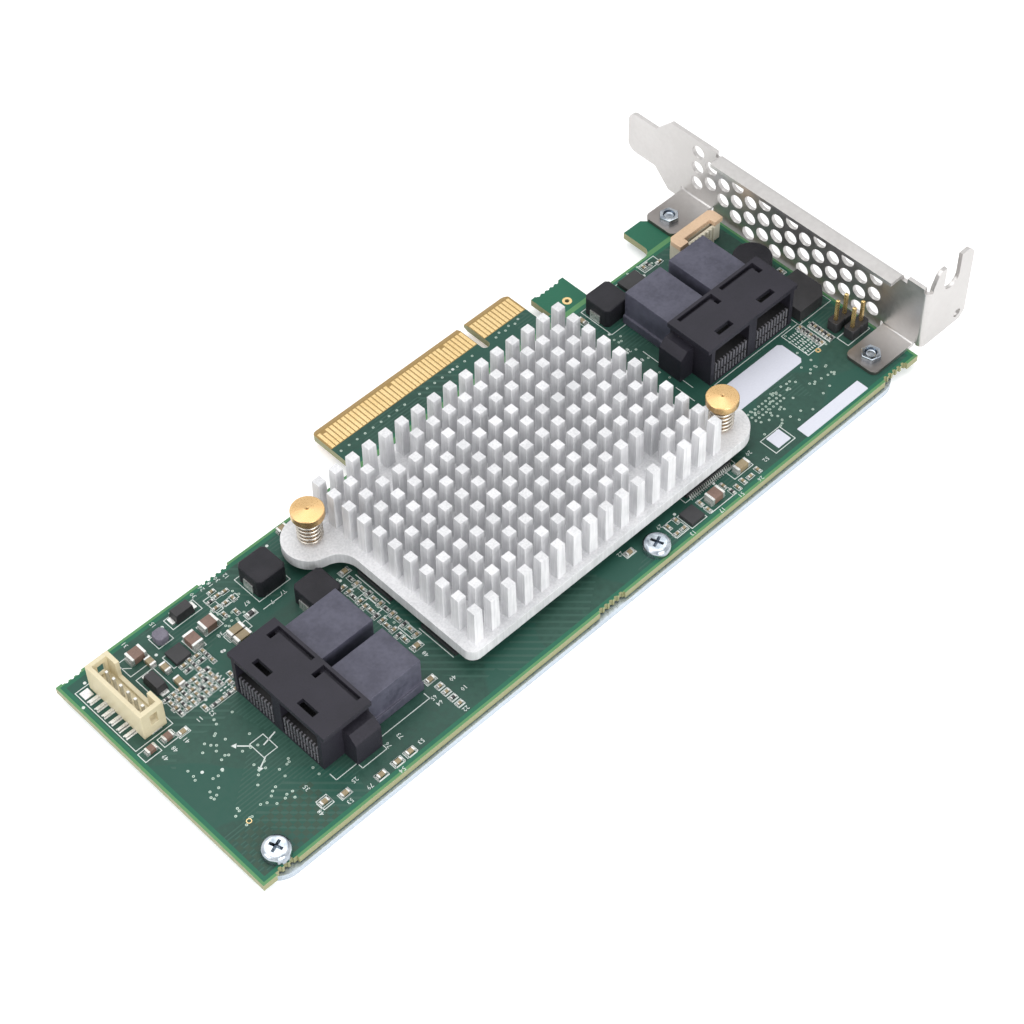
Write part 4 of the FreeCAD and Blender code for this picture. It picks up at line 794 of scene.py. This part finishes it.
# bent lead: a foot on the pad, a rise and a shoulder into the package, pointing to -Y
lead = slab((-LEAD_WIDTH / 2, -LEAD_REACH, 0), (LEAD_WIDTH / 2, -LEAD_REACH * 0.45, LEAD_SHEET))
edit(lead)
pick_faces(lead, BACK)
push_out(0, LEAD_REACH * 0.25, LEAD_RISE)
push_out(0, LEAD_REACH * 0.35, 0)
close()
lead_count = int((FLASH_HIGH[0] - FLASH_LOW[0]) / (LEAD_PITCH * MM)) - 1
flash_x = (FLASH_LOW[0] + FLASH_HIGH[0]) / 2
lead_places = [flash_x + (index - (lead_count - 1) / 2) * LEAD_PITCH * MM
               for index in range(lead_count)]
flash_leads = copies(lead, [Vector((x, FLASH_LOW[1], FACE)) for x in lead_places])
flash_leads += copies(lead, [Vector((x, FLASH_HIGH[1], FACE)) for x in lead_places], turn=180)
discard(lead)
settle(joined(flash_leads), "flash_leads", tin)

# ---- Bracket, nuts and screws ----
# One folded steel sheet with a warm nickel finish, and a painted dark reflection where its tabs lie on
# the board: a vented plate with its tongue, a stiffening flange, two tabs on the board and the slotted
# screw tab.
# Hexagon nuts and screws clamp it to the board.
bracket_steel = finish(
    "bracket_steel", (0.585, 0.57, 0.56), (0.53, 0.515, 0.505), mottle=90, grain=1100, smooth=0.28,
    rough=0.38, bump=0.03, metallic=0.88)
# Painted dark reflection: low on the tabs and inboard of the plate, the colour is mixed towards a dark
# tone that stands in for the dark surroundings the flat tabs reflect.
PAINTED_REFLECTION_TONE = (0.21, 0.19, 0.18, 1)
REFLECTION_HEIGHTS = (1.6, 0.7)
REFLECTION_PLACES = (167.5, 160.5)
tree = bracket_steel.node_tree
where = add_node(tree, "ShaderNodeTexCoord").outputs["Object"]
parts = add_node(tree, "ShaderNodeSeparateXYZ", {0: where}).outputs
low_on_tabs = add_node(tree, "ShaderNodeMapRange", {"From Min": FACE + REFLECTION_HEIGHTS[0] * MM,
                                               "From Max": FACE + REFLECTION_HEIGHTS[1] * MM,
                                               "Value": parts["Z"]})
inboard = add_node(tree, "ShaderNodeMapRange", {"From Min": place(REFLECTION_PLACES[0], 0).x,
                                                "From Max": place(REFLECTION_PLACES[1], 0).x,
                                                "Value": parts["X"]})
painted_reflection = add_node(tree, "ShaderNodeMath", {0: low_on_tabs.outputs["Result"], 1: inboard.outputs["Result"]},
                operation="MULTIPLY")
reflection_darkened = add_node(tree, "ShaderNodeMix", {"Factor": painted_reflection.outputs[0], "B": PAINTED_REFLECTION_TONE,
                                          "A": tree.nodes["variation"].outputs["Colour"]},
                  data_type="RGBA")
tree.links.new(reflection_darkened.outputs["Result"], tree.nodes["Principled BSDF"].inputs["Base Color"])
SHEET = 0.86
VENT_IN_SOLID = 1.55
VENT_RADIUS = 1.57
VENT_PITCH = 4.19
VENT_FIRST = (60.1, 0.7)
VENT_COLUMNS = 14
VENT_ROWS = 4
PLATE_X = place(BOARD_LENGTH / MM + 1.05, 0).x

bracket = softened("bracket", 0)
punches = []
punch = turned_blank(VENT_RADIUS, -2.0, 2.0, 28)
punch.data.transform(Matrix.Rotation(math.radians(90), 4, "Y"))
solid = bmesh.new()
solid.from_mesh(bracket.data)
for column in range(VENT_COLUMNS):
    across = VENT_FIRST[0] - column * VENT_PITCH * math.sqrt(3) / 2
    for row in range(VENT_ROWS):
        middle = place(0, across, VENT_FIRST[1] + (column % 2) * VENT_PITCH / 2 + row * VENT_PITCH)
        # a vent is punched only where the carried-over sheet has one
        rim = [vert for vert in solid.verts if abs(vert.co.x - PLATE_X) < 1.0 * MM
               and abs((vert.co.yz - middle.yz).length - VENT_IN_SOLID * MM) < 0.06 * MM]
        if len(rim) > 9:
            punches += copies(punch, [Vector((PLATE_X + SHEET / 2 * MM, middle.y, middle.z))])
solid.free()
discard(punch)
cut_away(bracket, joined(punches))
soften(bracket, 0.10)
settle(bracket, "vented_bracket", bracket_steel, "bracket", 38)

NUTS = ((160.4, 5.95), (160.4, 59.85))
NUT_FLATS = 3.75
NUT_HEIGHT = 1.15
NUT_TURN = 15
WASHER_RADIUS = 1.68
THREAD_BORE = 1.26
nut = turned_blank(NUT_FLATS / math.sqrt(3), SHEET, SHEET + NUT_HEIGHT, 6)
ease(nut, UP, 0.22, 2)
washer = ease(turned_blank(WASHER_RADIUS, -0.05, SHEET + 0.1, 24), UP, 0.04)
nut = joined([washer, nut])
cut_away(nut, turned_blank(THREAD_BORE, -1.0, 4.0, 24))
clamps = set_out(nut, NUTS, NUT_TURN)
settle(joined(clamps), "hexagon_nuts", screw_steel, "bracket_nuts", 30)
SCREWS_LOW, SCREWS_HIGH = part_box("bracket_screws")
TIP = (SCREWS_HIGH[2] - FACE) / MM
HEAD_LOW = (SCREWS_LOW[2] - FACE) / MM
SCREW_RADIUS = 1.21
SCREW_HEAD = 1.2                     # a short neck, the head's wall and its crown, going down
screw = ease(turned_blank(SCREW_RADIUS, HEAD_LOW + SCREW_HEAD, TIP, 24), UP, 0.25)
edit(screw)
pick_faces(screw, UP, 0.9)
bpy.ops.mesh.inset(thickness=0.35 * MM)
bpy.ops.transform.translate(value=(0, 0, -0.15 * MM))
pick_faces(screw, DOWN)
push_out(0, 0, -0.05)
bpy.ops.transform.resize(value=(1.7, 1.7, 1))
push_out(0, 0, -0.75)
push_out(0, 0, -0.4)
bpy.ops.transform.resize(value=(0.75, 0.75, 1))
close()
clamps = set_out(screw, NUTS)
settle(joined(clamps), "bracket_screws_below", screw_steel, "bracket_screws", 30)

# ---- Cable receptacles ----
# Two internal multi-lane receptacles: a charcoal moulded housing over a black contact block, and two
# blue-grey wafer stacks behind it. Rows of stamped contacts stand in each mouth above and below the
# paddle slot.
charcoal = finish(
    "port_charcoal", (0.027, 0.025, 0.035), (0.019, 0.018, 0.025), mottle=160, grain=2500,
    smooth=0.40, rough=0.56, bump=0.25, specular=0.25)
insert_black = finish(
    "port_insert", (0.014, 0.014, 0.015), (0.009, 0.009, 0.010), mottle=200, grain=2500, smooth=0.4,
    rough=0.55, bump=0.3)
wafer_grey = finish(
    "wafer_grey", (0.094, 0.094, 0.130), (0.058, 0.058, 0.084), mottle=260, grain=1400, smooth=0.42,
    rough=0.60, bump=0.5, specular=0.35)
comb_black = finish(
    "comb_contacts", (0.17, 0.165, 0.185), (0.10, 0.098, 0.112), mottle=200, smooth=0.26,
    rough=0.40, specular=0.6)
COMB_PITCH = 0.84
COMB_WIDTH = 0.34
COMB_DEPTHS = (0.03, 0.6)
COMB_ROWS = ((0.35, 2.35), (2.85, 5.0))
COMB_COUNT = 11
BAY_MIDDLE = 5.9
MOUTHS = (("left", (22.3, 21.7), -90), ("right", (145.0, 23.2), 0))
for side, middle, turn in MOUTHS:
    port = "port_" + side
    refine(port + "_housing", 0.14, "receptacle_" + side, charcoal, 40)
    refine(port + "_wafers", 0.18, "wafer_stacks_" + side, wafer_grey, 40)
    dress(port + "_contacts", insert_black)
    teeth = []
    for low, high in COMB_ROWS:
        tooth = slab((-COMB_WIDTH / 2, COMB_DEPTHS[0], low), (COMB_WIDTH / 2, COMB_DEPTHS[1], high))
        ease(tooth, FRONT, 0.07)
        for bay in (-BAY_MIDDLE, BAY_MIDDLE):
            for index in range(COMB_COUNT):
                sideways = bay + (index - (COMB_COUNT - 1) / 2) * COMB_PITCH
                offset = Matrix.Rotation(math.radians(turn), 3, "Z") @ Vector((sideways * MM, 0, 0))
                teeth += copies(tooth, [place(*middle) + offset], turn=turn)
        discard(tooth)
    settle(joined(teeth), "comb_contacts_" + side, comb_black)

# ---- Chokes ----
# Pressed iron-powder blocks with flat tinned clips at two ends, one round drum choke by the bracket
# and a small shielded one.
choke_black = finish(
    "choke_powder", (0.024, 0.023, 0.029), (0.014, 0.014, 0.018), grain=2600, smooth=0.42,
    rough=0.60, bump=0.6, specular=0.25)
refine("chokes", 0.22, "powder_chokes", choke_black, 45, 3)
dress("choke_clips", tin)
DRUM = (162.1, 38.6)
DRUM_RADIUS = 4.05
DRUM_HEIGHT = 3.9
drum = ease(turned_blank(DRUM_RADIUS, 0, DRUM_HEIGHT, 48), UP, 0.35, 3, both=True)
settle(joined(set_out(drum, [DRUM])), "drum_choke", choke_black, "round_choke", 30)
ferrite = finish(
    "choke_ferrite", (0.19, 0.18, 0.22), (0.13, 0.12, 0.16), smooth=0.4, rough=0.6, bump=0.3)
refine("small_choke", 0.12, "shielded_choke", ferrite)

# ---- Sounder, regulators and driver ----
# Moulded black packages soldered to the board, each with softly rounded edges.
moulding_black = finish(
    "moulding_black", (0.030, 0.029, 0.032), (0.019, 0.018, 0.020), smooth=0.42, rough=0.58,
    bump=0.3)
refine("buzzer", 0.16, "sounder", moulding_black)
refine("regulator_chips", 0.06, "regulators", chip_black)
refine("driver_chip", 0.08, "driver", chip_black)
refine("diodes", 0.08, "power_diodes", moulding_black)
dress("diode_tabs", tin)

# ---- Cable header ----
# Cream nylon wall round six tinned posts, whose tails lie in a row on the board beside it.
cream = finish(
    "header_nylon", (0.72, 0.64, 0.44), (0.65, 0.57, 0.38), mottle=200, grain=2500, smooth=0.36)
refine("cable_header", 0.16, "header_wall", cream)
dress("cable_header_posts", tin)
TAIL_HALF = 0.16
TAIL_SPLIT = 0.42
tails = []
for across in (49.28, 47.24, 45.24, 43.2, 41.14, 39.16):
    for middle in (across - TAIL_SPLIT, across + TAIL_SPLIT):
        tail = block(place(2.0, middle - TAIL_HALF, 0), place(4.35, middle + TAIL_HALF, 0.22))
        tails.append(ease(tail, UP, 0.06))
for low, high in (((2.1, 50.3, 0), (4.0, 52.2, 0.18)), ((5.9, 36.4, 0), (8.1, 37.2, 0.25))):
    tails.append(ease(block(place(*low), place(*high)), UP, 0.08, 2))
settle(joined(tails), "header_tails", tin)

# ---- Ribbon socket ----
# Pale nylon body with a row of contacts along its front, under a peach slide that clamps the ribbon.
pale_nylon = finish(
    "ribbon_nylon", (0.70, 0.66, 0.54), (0.60, 0.56, 0.45), mottle=200, grain=2500, smooth=0.36)
peach = finish(
    "clamp_nylon", (0.73, 0.52, 0.35), (0.64, 0.45, 0.29), mottle=200, grain=2500, smooth=0.36)
refine("ribbon_socket", 0.12, "ribbon_body", pale_nylon)
refine("ribbon_clamp", 0.14, "ribbon_slide", peach)
SOCKET_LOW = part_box("ribbon_socket")[0]
RIB_COUNT = 9
RIB_PITCH = 1.0
RIB_FIRST = 1.6
rib = ease(slab((-0.26, -0.3, 0), (0.26, 0.1, 4.42)), FRONT, 0.1)
ribs = copies(rib, [Vector((SOCKET_LOW[0] + (RIB_FIRST + index * RIB_PITCH) * MM, SOCKET_LOW[1], FACE))
                    for index in range(RIB_COUNT)])
discard(rib)
settle(joined(ribs), "ribbon_ribs", pale_nylon)

# ---- Jumper posts ----
# Square gold-plated posts in black bases beside the bracket.
refine("jumper_bases", 0.14, "jumper_blocks", moulding_black)
gold = finish(
    "pin_gold", (0.84, 0.62, 0.28), (0.70, 0.49, 0.20), mottle=500, grain=4000, smooth=0.2,
    rough=0.34, metallic=0.9)
dress("jumper_pins", gold)

# ---- Labels ----
# Matt white paper stock, left bare.
paper = finish(
    "label_paper", (0.70, 0.715, 0.80), (0.66, 0.675, 0.76), mottle=60, grain=2500, smooth=0.5,
    rough=0.65, bump=0.1)
dress("paper_labels", paper)

# ---- Ceramic capacitors and small chip parts ----
# Fired ceramic blocks and film resistors, each between two tinned ends and set on solder. The rows and
# clusters of the smallest ones fill the board round the regulators.
ceramic_brown = finish(
    "ceramic_brown", (0.225, 0.140, 0.110), (0.165, 0.100, 0.075), mottle=400, smooth=0.35)
ceramic_tan = finish(
    "ceramic_tan", (0.34, 0.27, 0.16), (0.26, 0.20, 0.115), mottle=400, smooth=0.35)
resist_black = finish(
    "resistor_glaze", (0.035, 0.035, 0.037), (0.022, 0.022, 0.024), mottle=400, smooth=0.25,
    rough=0.4)
refine("brown_capacitors", 0.08, "brown_ceramics", ceramic_brown)
refine("tan_capacitors", 0.08, "tan_ceramics", ceramic_tan)
PROUD = 0.03
FILLET = 0.28
FILLET_UNDER = 0.02


def cap_pair(length, width, height, band):
    """The two tinned ends of a chip part lying along the card, a little proud of its body."""
    made = []
    for side in (-1, 1):
        outer = side * (length / 2 + PROUD)
        inner = side * (length / 2 - band)
        end = slab((min(outer, inner), -width / 2 - PROUD, 0),
                   (max(outer, inner), width / 2 + PROUD, height + PROUD))
        made.append(soften(end, 0.07, 1))
        reach = (outer - side * FILLET_UNDER, outer + side * FILLET)
        fillet = slab((min(reach), -width * 0.46, 0), (max(reach), width * 0.46, height * 0.45))
        edit(fillet)
        pick_faces(fillet, UP)
        bpy.ops.transform.resize(value=(0.3, 0.8, 1))
        close()
        made.append(fillet)
    return joined(made)


ends = []
for size, band, spots in (
        ((3.2, 2.3, 1.7), 0.55, ((14.2, 51.2, 0), (23.5, 46.5, 90), (27.8, 47.4, 0), (113.4, 3.6, 0))),
        ((2.0, 1.3, 1.0), 0.42, ((3.7, 34.0, 0), (7.4, 34.0, 0), (16.3, 45.6, 90), (16.2, 41.6, 90),
                                 (15.2, 48.5, 90), (51.5, 54.7, 0))),
        ((3.2, 1.6, 1.3), 0.55, ((30.4, 42.9, 0), (30.4, 41.0, 0), (122.3, 5.0, 0)))):
    pair = cap_pair(*size, band)
    for along, across, turn in spots:
        ends += copies(pair, [place(along, across)], turn=turn)
    discard(pair)
settle(joined(ends), "capacitor_ends", tin)

# each size of chip part: body, ends and printed outline, under the name that says how big it is
chip_models = {}
for size_name, size, edge, band, outline_size, line in (
        ("small", (1.0, 0.5, 0.42), 0.05, 0.24, (0.85, 0.5), 0.1),
        ("medium", (1.6, 0.8, 0.55), 0.06, 0.34, (1.25, 0.75), 0.12)):
    body = soften(slab((-size[0] / 2, -size[1] / 2, 0), (size[0] / 2, size[1] / 2, size[2])), edge, 1)
    reach, depth = outline_size
    outline = frame_print(-reach, reach, -depth, depth, line)
    outline.data.transform(Matrix.Translation(-place(0, 0)))
    chip_models[size_name] = (body, cap_pair(*size, band), outline)
ROOM = 1.2
MEDIUM_ROOM = 0.45
bodies = {"tan": [], "dark": []}
tips = []
outlines = []
taken = []


def chip_part(along, across, turn=0, size="small", shade="tan", room=ROOM):
    """One small chip part, unless another stands too near; bodies and ends go with their like."""
    if size == "medium":
        room += MEDIUM_ROOM
    if any(math.hypot(along - u, across - v) < room for u, v in taken):
        return
    taken.append((along, across))
    for model, group in zip(chip_models[size], (bodies[shade], tips, outlines)):
        group.extend(copies(model, [place(along, across)], turn))


for column in range(7):
    for row in range(4):
        chip_part(12.3 + column * 1.5, 40.4 - row * 1.3 - 0.3 * (column % 2),
                  90 * ((column + row) % 2), shade="tan" if (column + row) % 3 else "dark")
for column in range(4):
    for row in range(3):
        chip_part(19.0 + column * 1.5, 43.9 - row * 1.3, 90 * (column % 2),
                  shade="dark" if row == 1 else "tan")
for column in range(4):
    chip_part(21.6 + column * 1.1, 36.6 - 1.2 * (column % 2), 90)
    chip_part(17.6 + column * 1.6, 33.6, shade="tan" if column % 2 else "dark")
for chip in (
        (10.0, 33.1, 0, "medium"), (13.8, 34.7, 0, "medium", "dark"), (16.0, 34.3, 90),
        (18.7, 34.1, 0, "medium"), (18.0, 5.1, 0, "medium"), (21.6, 3.9, 0, "medium"),
        (28.5, 2.3, 0, "medium"), (32.3, 2.3, 0, "medium"), (35.2, 2.3, 0, "medium"), (48.2, 3.6),
        (48.2, 5.3, 0, "small", "dark"), (48.2, 7.0), (48.2, 8.7), (47.9, 10.9, 0, "medium"),
        (51.2, 17.9, 0, "medium"), (53.2, 39.4, 0, "medium"), (34.9, 44.2, 0, "medium", "dark"),
        (31.4, 47.4, 90), (31.2, 49.6), (33.2, 49.3), (34.9, 49.2, 90),
        (31.4, 51.4, 0, "small", "dark"), (33.2, 51.6), (34.8, 51.4), (33.0, 53.0),
        (33.4, 46.4, 90), (29.2, 43.1, 90, "medium"), (24.6, 44.6, 0, "medium"),
        (93.0, 5.8, 0, "medium"), (102.3, 4.9, 90), (103.4, 4.9, 90, "small", "dark"),
        (104.5, 4.9, 90), (102.3, 2.7), (104.2, 2.7), (110.6, 4.6, 90), (110.6, 2.5, 90),
        (116.7, 4.4, 90), (116.9, 2.3, 90, "small", "dark"), (118.4, 2.3, 90), (120.2, 2.6, 90),
        (122.0, 2.4), (124.2, 2.5, 90), (147.2, 54.2, 90), (148.4, 54.2, 90, "small", "dark"),
        (149.6, 54.2, 90), (150.6, 53.2), (128.0, 52.6, 90, "medium"), (162.4, 34.0),
        (164.2, 34.0), (165.8, 34.0, 90), (126.0, 23.8, 90)):
    chip_part(*chip)
for row in range(12):
    chip_part(50.7 - 0.2 * (row % 2), 20.4 + row * 1.5, 90 * (row % 3 == 0),
              shade="dark" if row % 4 == 1 else "tan")
    chip_part(52.9, 19.8 + row * 1.6, 90 * (row % 2), shade="dark" if row % 3 == 2 else "tan")
CLOSE_ROOM = 0.8
for row in range(7):
    chip_part(159.2, 14.9 + row * 0.85, shade="tan" if row % 2 else "dark", room=CLOSE_ROOM)
    chip_part(156.9, 15.4 + row * 0.95, shade="dark" if row % 3 else "tan", room=CLOSE_ROOM)
for models in chip_models.values():
    for model in models:
        discard(model)
settle(joined(bodies["dark"]), "film_resistors", resist_black)
settle(joined(bodies["tan"]), "small_capacitors", ceramic_tan)
settle(joined(tips), "chip_part_ends", tin)
settle(joined(outlines), "part_outlines", ink_white)

# ---- Floor, light and camera ----
# A pale floor and soft light from overhead and one side, as over a product table. The camera, glossy
# and clear surfaces see the floor and world brighter than they light the card.
FLOOR_GAP = 0.02
FLOOR_LIFT = 0.33
WORLD_LIGHT = 0.70
WORLD_SEEN = 1.0
bpy.ops.object.select_all(action="DESELECT")
floor_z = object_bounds()[0][2]
bpy.ops.mesh.primitive_plane_add(size=6.0, location=(0, 0, floor_z - FLOOR_GAP * MM))
floor = bpy.context.object
floor.name = "floor"
floor_material = bpy.data.materials.new("pale_floor")
floor_material.use_nodes = True
tree = floor_material.node_tree
shader = tree.nodes["Principled BSDF"]
shader.inputs["Base Color"].default_value = (0.93, 0.93, 0.93, 1)
shader.inputs["Roughness"].default_value = 0.9
shader.inputs["Specular IOR Level"].default_value = 0.1
shader.inputs["Emission Color"].default_value = (1, 1, 1, 1)


def seen_directly(tree):
    """One for rays that show the background itself: from the camera, a gloss or a clear part."""
    rays = add_node(tree, "ShaderNodeLightPath").outputs
    either = add_node(tree, "ShaderNodeMath", {0: rays["Is Camera Ray"], 1: rays["Is Glossy Ray"]},
                      operation="MAXIMUM")
    return add_node(tree, "ShaderNodeMath",
                    {0: either.outputs[0], 1: rays["Is Transmission Ray"]},
                    operation="MAXIMUM").outputs[0]


lift = add_node(tree, "ShaderNodeMath", {0: seen_directly(tree), 1: FLOOR_LIFT}, operation="MULTIPLY")
tree.links.new(lift.outputs[0], shader.inputs["Emission Strength"])
floor.data.materials.append(floor_material)

world = bpy.data.worlds.new("studio")
scene.world = world
world.use_nodes = True
tree = world.node_tree
background = tree.nodes["Background"]
background.inputs["Color"].default_value = (1, 1, 1, 1)
strength = add_node(tree, "ShaderNodeMix", {"Factor": seen_directly(tree), "A": WORLD_LIGHT,
                                            "B": WORLD_SEEN}, data_type="FLOAT")
tree.links.new(strength.outputs["Result"], background.inputs["Strength"])

CARD_MIDDLE = Vector((0, -0.03, 0))
for name, location, size, watts in (("overhead_lamp", (0.05, 0.15, 0.95), 0.9, 3.5),
                                    ("side_lamp", (-0.75, 0.15, 0.55), 0.6, 1.9),
                                    ("front_lamp", (-0.25, -0.95, 0.35), 0.6, 5.4)):
    bpy.ops.object.select_all(action="DESELECT")
    bpy.ops.object.light_add(type="AREA", location=location)
    lamp = bpy.context.object
    lamp.name = name
    lamp.data.shape = "SQUARE"
    lamp.data.size = size
    lamp.data.energy = watts
    lamp.rotation_euler = (CARD_MIDDLE - Vector(location)).to_track_quat("-Z", "Y").to_euler()

CAMERA_STAND = Vector((-220.99, -250.42, 357.01)) * MM
CAMERA_TARGET = Vector((-25.67, -41.05, 0.785)) * MM
CAMERA_ROLL = math.radians(-1.557)
bpy.ops.object.camera_add(location=CAMERA_STAND)
camera = bpy.context.object
camera.name = "camera"
camera.data.sensor_width = 36.0
camera.data.lens = 86.675
camera.data.clip_start = 0.01
camera.data.clip_end = 20.0
look = (CAMERA_TARGET - CAMERA_STAND).to_track_quat("-Z", "Y")
camera.rotation_euler = (look.to_matrix() @ Matrix.Rotation(CAMERA_ROLL, 3, "Z")).to_euler()
scene.camera = camera
scene.view_settings.view_transform = "Standard"
